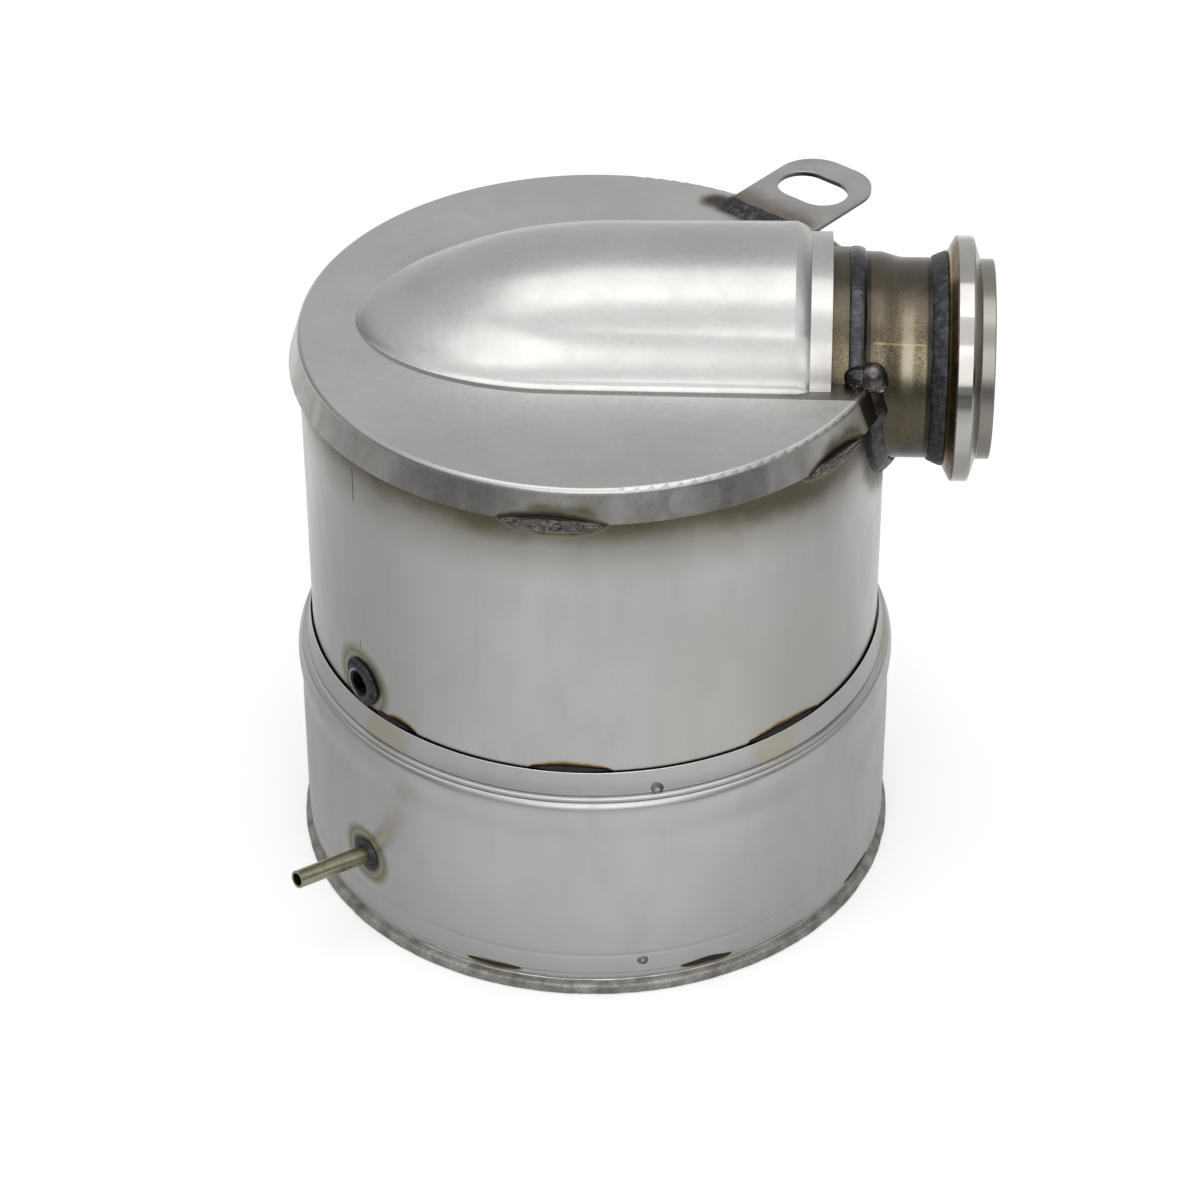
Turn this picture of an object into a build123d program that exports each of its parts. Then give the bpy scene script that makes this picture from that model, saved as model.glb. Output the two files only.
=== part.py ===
from build123d import *
from math import acos, asin, atan2, cos, degrees, radians, sin, sqrt, tan
import os

os.makedirs("parts", exist_ok=True)

# Driving dimensions in millimetres. The body axis is Z, the outlet face is z = 0, the inlet points to +X.
GAP = 0.3                 # clearance between curved faces that meet
HAIR = 0.1                # clearance under a weld bead

SHELL_R = 150.0           # outside of the upper shell
SHELL_T = 1.5
LID_TOP = 312.8

# Catalyst brick and what holds it
SUBSTRATE_Z0 = 62.0
SUBSTRATE_L = 76.2
MAT_SPACE = 5.625         # between the brick and the shell
RING_LEG = 8.9            # how far the retaining rings reach under the brick
RING_T = 1.2
RING_H = 4.5

# Heat jacket
BLANKET_SPACE = 6.0       # between the shell and the jacket
JACKET_T = 1.2
JACKET_BOTTOM = 13.0
COLLAR_ABOVE = 2.8        # collar edge above the top of the brick
COLLAR_GAP = 1.55         # outside of the collar edge, from the shell

# Outlet flange
RIM_OUT = 2.6             # rim beyond the jacket
RIM_H = 5.8
LEDGE = 2.5               # inner ledge under the shell
FLANGE_LIP = 3.2
NECK_H = 10.0             # how far the jacket goes down over the neck

# Lid
LID_OVER = 5.0            # lower edge of the lid's skirt, beyond the shell
LID_T = 2.0
LID_BEND = 3.0
SKIRT = 17.0
SKIRT_FLARE = 5.2         # lower edge of the skirt beyond the lid's upper corner

# Inlet, a little to one side of the body axis
INLET_Y = 0.4
INLET_DROP = 17.2         # inlet axis below the top of the lid
TUBE_R = 50.8             # four inch tube
TUBE_T = 2.0
SWAGE = 2.7               # the tube is a little wider where it enters the socket
SOCKET_T = 1.8
LIP_SPACE = 7.6           # outside of the hood's lip, from the socket
LIP_BACK = 29.5           # end of the lip, inward from the shell's radius
LIP_L = 10.6
SOCKET_OUT = 8.5          # socket beyond the lip
SWAGE_AT = 22.5           # end of the wide part, from the lip
SWAGE_L = 14.0
TUBE_L = 21.2             # plain tube from the swage to the flange
FLANGE_L = 23.8
FLANGE_RISE = 11.7        # rim of the clamp flange above the tube

# Sensor bung
BUNG_AZ = -139.7
BUNG_UP = 12.9            # above the collar edge
BUNG_R = 10.5
BUNG_L = 7.2
THREAD_R = 6.2            # core of an M14 x 1.5 thread

# Pressure sense tube
SENSE_AZ = -137.2
SENSE_TILT = 8.0
SENSE_R = 4.7625          # three eighths inch tube
SENSE_T = 1.2125
SENSE_UNDER = 14.1        # below the brick, where the tube leaves the jacket
SENSE_OUT = 45.5

# Lifting lug
LUG_AZ = 52.0
LUG_T = 3.0
LUG_BACK = 11.6           # inner end of the lug, inward from the shell's radius
LUG_L = 64.7
LUG_HALF = 27.3
LUG_SHIFT = 5.0
LUG_CORNER = 21.2
SLOT_AT = 34.9
SLOT_HALF = 6.4
SLOT_R = 13.7

# Hood: how its width, height and shoulder stand out from the lip
HOOD_BACK = 29.2          # tip, inward from the shell's radius
HOOD_BULGE = 5.0
HOOD_RISE = 3.8
SHOULDER_L = 7.9

# What follows from the sizes above
SHELL_IN = SHELL_R - SHELL_T
SUBSTRATE_R = SHELL_IN - MAT_SPACE
SUBSTRATE_Z1 = SUBSTRATE_Z0 + SUBSTRATE_L
JACKET_IN = SHELL_R + BLANKET_SPACE
JACKET_R = JACKET_IN + JACKET_T
COLLAR_TOP = SUBSTRATE_Z1 + COLLAR_ABOVE
COLLAR_EDGE = SHELL_R + COLLAR_GAP
COLLAR_FOOT = JACKET_R - 3.7
RIM_R = JACKET_R + RIM_OUT
OUTLET_R = SHELL_IN - LEDGE
NECK_R = JACKET_IN - 0.2
NECK_TOP = JACKET_BOTTOM + NECK_H
LID_R = SHELL_R + LID_OVER
SKIRT_Z = LID_TOP - SKIRT
SLOPE = atan2(SKIRT_FLARE, SKIRT)
SKIRT_IN = LID_R - LID_T / cos(SLOPE)
SHELL_TOP = SKIRT_Z + (SKIRT_IN - SHELL_R - GAP) / tan(SLOPE)
INLET_Z = LID_TOP - INLET_DROP
SWAGE_R = TUBE_R + SWAGE
SOCKET_IN_R = SWAGE_R + 0.2
SOCKET_R = SOCKET_IN_R + SOCKET_T
LIP_R = SOCKET_R + LIP_SPACE
LIP_END = SHELL_R - LIP_BACK
LIP_START = LIP_END - LIP_L
TUBE_IN = LIP_END - 2.5
SOCKET_START = LIP_START + 0.7
SOCKET_END = LIP_END + SOCKET_OUT
SWAGE_START = LIP_END + SWAGE_AT
SWAGE_END = SWAGE_START + SWAGE_L
FLANGE_BACK = SWAGE_END + TUBE_L
PILOT_END = FLANGE_BACK + FLANGE_L
FLANGE_RIM_R = TUBE_R + FLANGE_RISE
FLANGE_IN_R = TUBE_R - TUBE_T
BUNG_Z = COLLAR_TOP + BUNG_UP
SENSE_Z = SUBSTRATE_Z0 - SENSE_UNDER
SENSE_BORE = SENSE_R - SENSE_T
LUG_IN = SHELL_R - LUG_BACK
TUBE_AXIS = Axis((0, INLET_Y, INLET_Z), (1, 0, 0))
FAR = 2 * SHELL_R         # beyond everything, for cutting


def save(builder, name):
    builder.part.label = name
    export_step(builder.part, f"parts/{name}.step")
    print(name, round(builder.part.volume), len(builder.part.solids()))


def ring_of_revolution(points, angle=360.0, start=0.0):
    """Closed outline of (radius, height) points turned about the body axis."""
    with BuildSketch(Plane.XZ.rotated((0, 0, start), ordering=Extrinsic.XYZ)) as outline:
        with BuildLine():
            Polyline(*points, close=True)
        make_face()
    revolve(outline.sketch, axis=Axis.Z, revolution_arc=angle)


def inlet_plane():
    """Sketch plane through the inlet axis: x runs along the tube, y is the distance from its axis."""
    return Plane(origin=(0, INLET_Y, INLET_Z), x_dir=(1, 0, 0), z_dir=(0, -1, 0))


def tube_turned(points, mode=Mode.ADD):
    """Closed outline of (along, radius) points turned about the inlet axis."""
    with BuildSketch(inlet_plane()) as outline:
        with BuildLine():
            Polyline(*points, close=True)
        make_face()
    revolve(outline.sketch, axis=TUBE_AXIS, mode=mode)


def radial_plane(azimuth, radius, height, tilt=0.0):
    """Plane whose normal points outward at this azimuth, tilted up by tilt degrees."""
    a = radians(azimuth)
    t = radians(tilt)
    out = (cos(a) * cos(t), sin(a) * cos(t), sin(t))
    return Plane(origin=(radius * cos(a), radius * sin(a), height), x_dir=(-sin(a), cos(a), 0), z_dir=out)


def radial_rod(azimuth, height, rod_r, r_from, r_to, mode=Mode.ADD):
    """Round bar along the radius of the body."""
    with BuildSketch(radial_plane(azimuth, r_from, height)) as section:
        Circle(rod_r)
    extrude(section.sketch, amount=r_to - r_from, mode=mode)


def sense_rod(rod_r, s_from, s_to, mode=Mode.ADD):
    """Round bar along the sense tube's own tilted axis; s is measured from the jacket outward."""
    base = radial_plane(SENSE_AZ, JACKET_R, SENSE_Z, SENSE_TILT)
    with BuildSketch(base.offset(s_from)) as section:
        Circle(rod_r)
    extrude(section.sketch, amount=s_to - s_from, mode=mode)


def tube_rod(rod_r, x_from, x_to, mode=Mode.ADD):
    """Round bar along the inlet axis."""
    with BuildSketch(Plane(origin=(x_from, INLET_Y, INLET_Z), x_dir=(0, 1, 0), z_dir=(1, 0, 0))) as section:
        Circle(rod_r)
    extrude(section.sketch, amount=x_to - x_from, mode=mode)


def hood_section(x, half_width, height, foot, inset, floor):
    """Arch across the hood with a concave foot each side; inset makes the matching inner arch."""
    crown = (half_width**2 + height**2 - 2 * foot * height) / (2 * height)
    centre = height - crown
    r_arch = crown - inset
    r_foot = foot + inset
    lean = atan2(half_width, foot - centre)
    meet = (r_arch * sin(lean), centre + r_arch * cos(lean))
    low = foot - r_foot + 0.06 * r_foot
    sweep = acos((foot - low) / r_foot)
    toe = (half_width - r_foot * sin(sweep), low)
    mid_angle = (sweep + lean) / 2
    mid = (half_width - r_foot * sin(mid_angle), foot - r_foot * cos(mid_angle))
    top = (0, height - inset)
    with BuildSketch(Plane(origin=(x, INLET_Y, LID_TOP), x_dir=(0, 1, 0), z_dir=(1, 0, 0))) as arch:
        with BuildLine():
            ThreePointArc((-meet[0], meet[1]), top, meet)
            ThreePointArc(meet, mid, toe)
            Polyline(toe, (toe[0], floor), (-toe[0], floor), (-toe[0], toe[1]))
            ThreePointArc((-toe[0], toe[1]), (-mid[0], mid[1]), (-meet[0], meet[1]))
        make_face()
    return arch.sketch


# Hood: half width and height fade to the tip; beyond the middle both are nearly steady
LIP_WIDE = sqrt(LIP_R**2 - INLET_DROP**2)
LIP_TALL = LIP_R - INLET_DROP
HOOD_TIP = HOOD_BACK - SHELL_R
HOOD_END = LIP_START - SHOULDER_L
HOOD_WIDE = LIP_WIDE + HOOD_BULGE
HOOD_TALL = LIP_TALL + HOOD_RISE
FADE_W = HOOD_TIP + 105.8
FADE_H = HOOD_TIP + 132.8
SHOULDER = [
    (HOOD_END, HOOD_WIDE - 0.7, HOOD_TALL + 2.0, 5.0),
    (HOOD_END + 0.4 * SHOULDER_L, LIP_WIDE + 3.5, LIP_TALL + 4.4, 4.0),
    (HOOD_END + 0.73 * SHOULDER_L, LIP_WIDE + 2.1, LIP_TALL + 2.5, 2.5),
    (LIP_START, LIP_WIDE, LIP_TALL, 1.0),
]
LIP = [(LIP_START, LIP_WIDE, LIP_TALL, 1.0), (LIP_END, LIP_WIDE, LIP_TALL, 1.0)]


def hood_station(x):
    """Half width, height and foot radius of the hood at one place along X."""
    s_w = max(0.0, FADE_W - x) / (FADE_W - HOOD_TIP)
    s_h = max(0.0, FADE_H - x) / (FADE_H - HOOD_TIP)
    width = HOOD_WIDE * sqrt(1 - s_w**2)
    height = HOOD_TALL * (1 - s_h**1.8) ** 0.66
    run = max(0.0, x - FADE_H) / (HOOD_END - FADE_H)
    return (x, width - 0.7 * run, height + 2.0 * run, min(5.0, 0.35 * height))


# Stations stand close together at the rounded tip and evenly along the rest
NEAR_TIP = [0.3, 2.8, 7.3, 13.8, 22.8, 33.8, 46.8]
EVEN = 11
FIRST = HOOD_TIP + 60.8
DOME_X = [HOOD_TIP + d for d in NEAR_TIP] + [FIRST + (HOOD_END - FIRST) * i / EVEN for i in range(EVEN + 1)]
DOME = [hood_station(x) for x in DOME_X]


def hood_solid(inset, floor, tip_shift, mode):
    for group, ruled in ((DOME, False), (SHOULDER, False), (LIP, True)):
        sections = []
        for x, w, h, f in group:
            back = tip_shift * max(0.0, FADE_W - x) / (FADE_W - HOOD_TIP)
            reach = 0.2 if inset and x == LIP_END else 0.0
            sections.append(hood_section(x + back + reach, w, h, f, inset, floor))
        loft(sections, ruled=ruled, mode=mode)


def skirt_r(z, low_r=LID_R):
    """Outside radius of the flared skirt at a height; low_r is the radius at its lower edge."""
    return low_r - (z - SKIRT_Z) * tan(SLOPE)


def lid_block(low_r, top, bottom, bend, mode):
    """Solid lid with a flared skirt and a small bend at the upper corner, outside or inside."""
    corner_r = skirt_r(top, low_r)
    run = bend * tan(radians(45) - SLOPE / 2)
    mid = (radians(90) + SLOPE) / 2
    with BuildSketch(Plane.XZ) as outline:
        with BuildLine():
            skirt_end = (corner_r + run * sin(SLOPE), top - run * cos(SLOPE))
            Polyline((0, bottom), (skirt_r(bottom, low_r), bottom), skirt_end)
            ThreePointArc(
                skirt_end, (corner_r - run + bend * cos(mid), top - bend + bend * sin(mid)), (corner_r - run, top))
            Polyline((corner_r - run, top), (0, top), (0, bottom))
        make_face()
    revolve(outline.sketch, axis=Axis.Z, mode=mode)


# Lid, hood and skirt pressed from one sheet
with BuildPart() as inlet_head:
    lid_block(LID_R, LID_TOP, SKIRT_Z, LID_BEND, Mode.ADD)
    hood_solid(0.0, -1.0, 0.0, Mode.ADD)
    lid_block(SKIRT_IN, LID_TOP - LID_T, SKIRT_Z - 1.0, LID_BEND - LID_T, Mode.SUBTRACT)
    hood_solid(LID_T, -LID_T - 1.0, LID_T, Mode.SUBTRACT)
    tube_rod(SOCKET_R + GAP, LIP_END + 0.1, FAR, Mode.SUBTRACT)
save(inlet_head, "inlet_head")

# Inlet tube, swaged wider at its inner end
TUBE_END = FLANGE_BACK + 4.0
with BuildPart() as inlet_tube:
    with BuildSketch(inlet_plane()):
        with BuildLine():
            Line((TUBE_IN, SWAGE_R), (SWAGE_START, SWAGE_R))
            Spline((SWAGE_START, SWAGE_R), (SWAGE_END, TUBE_R), tangents=[(1, 0), (1, 0)])
            Polyline((SWAGE_END, TUBE_R), (TUBE_END, TUBE_R), (TUBE_END, FLANGE_IN_R), (SWAGE_END, FLANGE_IN_R))
            Spline((SWAGE_END, FLANGE_IN_R), (SWAGE_START, SWAGE_R - TUBE_T), tangents=[(-1, 0), (-1, 0)])
            Polyline((SWAGE_START, SWAGE_R - TUBE_T), (TUBE_IN, SWAGE_R - TUBE_T), (TUBE_IN, SWAGE_R))
        make_face()
    revolve(axis=TUBE_AXIS)
save(inlet_tube, "inlet_tube")

# Socket ring that carries the tube inside the lip of the hood
FLARE_R = LIP_R - LID_T - GAP - 0.5
with BuildPart() as inlet_socket:
    tube_turned([
        (SOCKET_START, FLARE_R), (SOCKET_START + 1.8, FLARE_R), (SOCKET_START + 5.2, SOCKET_R),
        (SOCKET_END, SOCKET_R), (SOCKET_END, SOCKET_IN_R), (SOCKET_START + 4.4, SOCKET_IN_R),
        (SOCKET_START + 0.9, FLARE_R - 1.9), (SOCKET_START, FLARE_R - 1.9),
    ])
save(inlet_socket, "inlet_socket")


def saddle_path(rho, body_r, first, last, count):
    """Points on the line where a tube of radius rho meets a round body; body_r gives its radius at a height."""
    points = []
    for i in range(count):
        t = radians(first + (last - first) * i / (count - 1))
        y = INLET_Y + rho * cos(t)
        z = INLET_Z + rho * sin(t)
        points.append((sqrt(body_r(z)**2 - y**2), y, z))
    return points


def bead_along(points, bead_r):
    """Round bead swept along a smooth line."""
    with BuildLine() as line:
        Spline(*points)
    with BuildSketch(Plane(origin=line.line @ 0, z_dir=line.line % 0)) as section:
        Circle(bead_r)
    sweep(section.sketch, path=line.line)


# Weld round the neck: a ring above the lid, short runs on the lid, a saddle down the side
WELD_X = SOCKET_END + HAIR
BEAD_R = SWAGE_R + 1.0
SADDLE_LOW = degrees(asin((SKIRT_Z - 0.6 - INLET_Z) / BEAD_R))
SADDLE_HIGH = degrees(asin((LID_TOP + 1.8 - INLET_Z) / BEAD_R))
with BuildPart() as neck_weld:
    tube_turned([
        (WELD_X, SWAGE_R + HAIR), (WELD_X, SOCKET_R + HAIR), (WELD_X - 1.5, SOCKET_R + HAIR),
        (WELD_X - 0.7, SOCKET_R + 0.8), (WELD_X + 1.3, SOCKET_R + 1.0), (WELD_X + 3.3, SOCKET_R),
        (WELD_X + 6.4, SWAGE_R + 0.6), (WELD_X + 8.5, SWAGE_R + HAIR),
    ])
    with Locations((WELD_X, INLET_Y, LID_TOP + HAIR - FAR / 2)):
        Box(FAR, FAR, FAR, mode=Mode.SUBTRACT)
    with BuildPart(mode=Mode.PRIVATE) as runs:
        tube_rod(SOCKET_R + 2.1, WELD_X, SHELL_R)
        with Locations((WELD_X, INLET_Y, LID_TOP + 1.45)):
            Box(FAR, FAR, 3.7, mode=Mode.INTERSECT)
        with BuildSketch(Plane.XY.offset(LID_TOP - 10)):
            Circle(skirt_r(LID_TOP) + 1.6)
        extrude(amount=30, mode=Mode.INTERSECT)
    add(runs.part)
    with BuildPart(mode=Mode.PRIVATE) as saddle:
        bead_along(saddle_path(BEAD_R - 0.3, lambda z: SHELL_R + 1.6, SADDLE_LOW, -180 - SADDLE_LOW, 17), 3.6)
        for first, last in ((SADDLE_LOW - 2.0, SADDLE_HIGH), (-178.0 - SADDLE_LOW, -180.0 - SADDLE_HIGH)):
            bead_along(saddle_path(BEAD_R + 0.1, lambda z: skirt_r(z) + 1.2, first, last, 5), 3.2)
    add(saddle.part)
    tube_turned([
        (0.0, 0.0), (0.0, SWAGE_R + HAIR), (SWAGE_START, SWAGE_R + HAIR), (SWAGE_START + 3.5, SWAGE_R - 0.2),
        (SWAGE_START + 7.0, TUBE_R + 1.55), (SWAGE_START + 10.5, TUBE_R + 0.6), (SWAGE_END, TUBE_R + HAIR + 0.05),
        (FLANGE_BACK, TUBE_R + HAIR), (FLANGE_BACK, 0.0),
    ], Mode.SUBTRACT)
    with BuildSketch(Plane.XY.offset(SKIRT_Z - 100)):
        Circle(SHELL_R + HAIR)
    extrude(amount=100.1, mode=Mode.SUBTRACT)
    lid_block(LID_R + HAIR, LID_TOP + HAIR, SKIRT_Z - 0.2, LID_BEND, Mode.SUBTRACT)
save(neck_weld, "neck_weld")

# Inlet clamp flange: hub, steep back, rim, sloping face, pilot ring
RIM_X = FLANGE_BACK + 5.0
FACE_X = RIM_X + 7.1
with BuildPart() as inlet_flange:
    tube_turned([
        (FLANGE_BACK, TUBE_R + HAIR), (FLANGE_BACK, TUBE_R + 3.4), (RIM_X - 0.8, FLANGE_RIM_R - 0.6),
        (RIM_X, FLANGE_RIM_R), (FACE_X, FLANGE_RIM_R), (FACE_X + 1.1, FLANGE_RIM_R - 0.6),
        (FACE_X + 4.6, TUBE_R + 0.5), (FACE_X + 5.1, TUBE_R), (PILOT_END - 0.5, TUBE_R),
        (PILOT_END, TUBE_R - 0.5), (PILOT_END, FLANGE_IN_R), (TUBE_END + HAIR, FLANGE_IN_R),
        (TUBE_END + HAIR, TUBE_R + HAIR),
    ])
save(inlet_flange, "inlet_flange")

with BuildPart() as flange_weld:
    tube_turned([
        (FLANGE_BACK - 7.7, TUBE_R + HAIR), (FLANGE_BACK - 6.9, TUBE_R + 1.1), (FLANGE_BACK - 4.6, TUBE_R + 2.3),
        (FLANGE_BACK - 2.2, TUBE_R + 3.3), (FLANGE_BACK - HAIR, TUBE_R + 3.6),
        (FLANGE_BACK - HAIR, TUBE_R + HAIR),
    ])
save(flange_weld, "flange_weld")

# Shell of the canister, open at both ends
with BuildPart() as body_shell:
    ring_of_revolution([
        (SHELL_IN, FLANGE_LIP), (SHELL_R, FLANGE_LIP), (SHELL_R, SHELL_TOP), (SHELL_IN, SHELL_TOP),
    ])
    tube_rod(SWAGE_R + GAP, SHELL_R / 2, FAR, Mode.SUBTRACT)
    radial_rod(BUNG_AZ, BUNG_Z, BUNG_R + 0.15, SHELL_R / 2, FAR, Mode.SUBTRACT)
    sense_rod(SENSE_R + GAP, -25.0, 5.0, Mode.SUBTRACT)
save(body_shell, "body_shell")

# Plug weld places: azimuth, height, radius of the plug, from radius, to radius
PLUGS = []
for turn in (0, 120, 240):
    PLUGS.append((-75.4 + turn, COLLAR_TOP - 11.1, 2.6, SHELL_R + HAIR, COLLAR_FOOT + 0.5))
    PLUGS.append((-78.3 + turn, NECK_TOP - 2.9, 2.1, NECK_R + HAIR, JACKET_R + 0.4))


def collar_r(below):
    """Radius of the collar at a distance below its upper edge."""
    return COLLAR_EDGE + (COLLAR_FOOT - COLLAR_EDGE) * (below / 11.4) ** 1.4


# Heat jacket: plain lower part, shoulder, groove, bead and collar, as (radius, height)
LOWER = [(0.0, 0.0), (0.0, 10.6), (-0.3, 11.2), (0.2, 13.5)]
SHOULDER_BEAD = [
    (0.2, 51.0), (-0.4, 40.5), (0.6, 33.5), (1.2, 29.0), (1.3, 25.0), (1.0, 21.0), (0.2, 17.6), (-1.0, 15.6),
    (-1.7, 15.1), (-2.1, 14.4), (-2.3, 13.4), (-3.2, 12.2),
]
PROFILE = [(JACKET_R + out, JACKET_BOTTOM + up) for out, up in LOWER]
PROFILE += [(JACKET_R + out, COLLAR_TOP - down) for out, down in SHOULDER_BEAD]
PROFILE += [(collar_r(down), COLLAR_TOP - down) for down in (11.4, 7.5, 3.5, 0.0)]
with BuildPart() as outer_jacket:
    inner_side = [(r - JACKET_T, z) for r, z in reversed(PROFILE)]
    ring_of_revolution(PROFILE + inner_side)
    sense_rod(SENSE_R + GAP, -10.0, 10.0, Mode.SUBTRACT)
    for azimuth, height, plug_r, r_from, r_to in PLUGS:
        radial_rod(azimuth, height, plug_r + 0.2, SHELL_R / 2, FAR, Mode.SUBTRACT)
save(outer_jacket, "outer_jacket")

with BuildPart() as plug_welds:
    for azimuth, height, plug_r, r_from, r_to in PLUGS:
        radial_rod(azimuth, height, plug_r, r_from, r_to)
    with BuildSketch(Plane.XY):
        Circle(NECK_R + 0.05)
    extrude(amount=NECK_TOP, mode=Mode.SUBTRACT)
    with BuildSketch(Plane.XY.offset(COLLAR_TOP - 20)):
        Circle(SHELL_R + HAIR)
    extrude(amount=20, mode=Mode.SUBTRACT)
save(plug_welds, "plug_welds")

# Outlet flange ring; the shell stands on its inner ledge and the jacket sits on its neck
FOOT = JACKET_BOTTOM - HAIR
with BuildPart() as outlet_flange:
    ring_of_revolution([
        (OUTLET_R, 0.0), (RIM_R - 0.6, 0.0), (RIM_R, 0.6), (RIM_R, RIM_H - 0.6), (RIM_R - 0.6, RIM_H),
        (JACKET_R - 1.4, RIM_H + 0.5), (JACKET_R - 1.8, RIM_H + 0.9), (JACKET_R - 0.8, RIM_H + 1.3),
        (JACKET_R - 0.3, RIM_H + 2.1), (JACKET_R - 0.3, FOOT), (NECK_R, FOOT), (NECK_R, NECK_TOP),
        (SHELL_R + 0.2, NECK_TOP), (SHELL_R + 0.2, FLANGE_LIP), (OUTLET_R, FLANGE_LIP),
    ])
save(outlet_flange, "outlet_flange")

BLANKET_R = JACKET_IN - 0.5
BLANKET_TOP = COLLAR_TOP - 21.0
with BuildPart() as insulation_blanket:
    ring_of_revolution([
        (SHELL_R + GAP, NECK_TOP), (BLANKET_R, NECK_TOP), (BLANKET_R, BLANKET_TOP),
        (SHELL_R + GAP, BLANKET_TOP),
    ])
    sense_rod(SENSE_R + 0.5, -20.0, 5.0, Mode.SUBTRACT)
save(insulation_blanket, "insulation_blanket")

# Catalyst brick, its mat and the two rings that hold it
RING_R = SHELL_IN - GAP
with BuildPart() as catalyst_substrate:
    with BuildSketch(Plane.XY.offset(SUBSTRATE_Z0)):
        Circle(SUBSTRATE_R)
    extrude(amount=SUBSTRATE_L)
save(catalyst_substrate, "catalyst_substrate")

with BuildPart() as support_mat:
    low = SUBSTRATE_Z0 + 2.0
    high = SUBSTRATE_Z1 - 2.0
    ring_of_revolution([(SUBSTRATE_R + GAP, low), (RING_R, low), (RING_R, high), (SUBSTRATE_R + GAP, high)])
save(support_mat, "support_mat")


def retaining_ring(z_seat, way):
    """Angle ring: a flat leg against the brick, an upright leg on the shell."""
    tip = SUBSTRATE_R - RING_LEG
    ring_of_revolution([
        (tip, z_seat), (RING_R, z_seat), (RING_R, z_seat + way * RING_H),
        (RING_R - RING_T, z_seat + way * RING_H), (RING_R - RING_T, z_seat + way * RING_T),
        (tip, z_seat + way * RING_T),
    ])


with BuildPart() as upper_retaining_ring:
    retaining_ring(SUBSTRATE_Z1, 1)
save(upper_retaining_ring, "upper_retaining_ring")

with BuildPart() as lower_retaining_ring:
    retaining_ring(SUBSTRATE_Z0, -1)
save(lower_retaining_ring, "lower_retaining_ring")

# Threaded bung for the temperature sensor
with BuildPart() as sensor_bung:
    with BuildSketch(radial_plane(BUNG_AZ, SHELL_IN - 3.0, BUNG_Z)):
        Circle(BUNG_R)
    extrude(amount=BUNG_L)
    chamfer(sensor_bung.edges().filter_by(GeomType.CIRCLE).sort_by_distance((0, 0, BUNG_Z))[-1], 1.2)
    radial_rod(BUNG_AZ, BUNG_Z, THREAD_R, SHELL_R / 2, FAR, Mode.SUBTRACT)
    chamfer(sensor_bung.edges().filter_by(GeomType.CIRCLE).sort_by(SortBy.RADIUS)[:2]
            .sort_by_distance((0, 0, BUNG_Z))[-1], 0.7)
save(sensor_bung, "sensor_bung")

with BuildPart() as bung_weld:
    with BuildSketch(radial_plane(BUNG_AZ, SHELL_R - 4.0, BUNG_Z)):
        Circle(BUNG_R + 4.1)
    extrude(amount=6.0, taper=20)
    with BuildSketch(Plane.XY.offset(BUNG_Z - 50)):
        Circle(SHELL_R + HAIR)
    extrude(amount=100, mode=Mode.SUBTRACT)
    radial_rod(BUNG_AZ, BUNG_Z, BUNG_R + HAIR, SHELL_R / 2, FAR, Mode.SUBTRACT)
    with Locations((0, 0, COLLAR_TOP + 0.2 - FAR)):
        Box(2 * FAR, 2 * FAR, 2 * FAR, mode=Mode.SUBTRACT)
save(bung_weld, "bung_weld")

# Pressure sense tube and its root weld
with BuildPart() as sense_tube:
    sense_rod(SENSE_R, -BLANKET_SPACE - 3.0, SENSE_OUT)
    sense_rod(SENSE_BORE, -20.0, SENSE_OUT + 5.0, Mode.SUBTRACT)
save(sense_tube, "sense_tube")

with BuildPart() as sense_tube_weld:
    base = radial_plane(SENSE_AZ, JACKET_R, SENSE_Z, SENSE_TILT)
    with BuildSketch(base.offset(-3.0)):
        Circle(SENSE_R + 6.2)
    with BuildSketch(base.offset(1.0)):
        Circle(SENSE_R + 4.6)
    with BuildSketch(base.offset(3.4)):
        Circle(SENSE_R + 1.2)
    loft(ruled=True)
    with BuildSketch(Plane.XY):
        Circle(JACKET_R + 0.2 + HAIR)
    extrude(amount=COLLAR_TOP, mode=Mode.SUBTRACT)
    sense_rod(SENSE_R + HAIR, -20.0, 20.0, Mode.SUBTRACT)
save(sense_tube_weld, "sense_tube_weld")

# Lifting lug flat on the lid, with its long hole
LUG = Plane(origin=(0, 0, LID_TOP), x_dir=(cos(radians(LUG_AZ)), sin(radians(LUG_AZ)), 0), z_dir=(0, 0, 1))
with BuildPart() as lifting_lug:
    with BuildSketch(LUG):
        with Locations((LUG_IN + LUG_L / 2, -LUG_SHIFT)):
            Rectangle(LUG_L, 2 * LUG_HALF)
    extrude(amount=LUG_T)
    far = lifting_lug.edges().filter_by(Axis.Z).sort_by_distance((0, 0, LID_TOP))[-2:]
    fillet(far, LUG_CORNER)
    with BuildSketch(LUG):
        with Locations((LUG_IN + SLOT_AT, -LUG_SHIFT)):
            SlotCenterToCenter(2 * SLOT_HALF, 2 * SLOT_R)
    extrude(amount=LUG_T, mode=Mode.SUBTRACT)
    chamfer(lifting_lug.faces().filter_by(Axis.Z).edges().filter_by(GeomType.CIRCLE), 0.3)
save(lifting_lug, "lifting_lug")

# Weld along the inner end of the lug and round its corners
with BuildPart() as lug_weld:
    with BuildSketch(LUG.offset(HAIR)):
        with Locations((LUG_IN - 2.0, -LUG_SHIFT + 0.5)):
            Rectangle(17.6, 2 * LUG_HALF + 7.0)
    extrude(amount=3.1, taper=30)
    with BuildSketch(LUG.offset(-1)):
        with Locations((LUG_IN + 30.0 - HAIR, -LUG_SHIFT)):
            Rectangle(60.0, 2 * LUG_HALF + 2 * HAIR)
    extrude(amount=10, mode=Mode.SUBTRACT)
save(lug_weld, "lug_weld")


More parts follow.
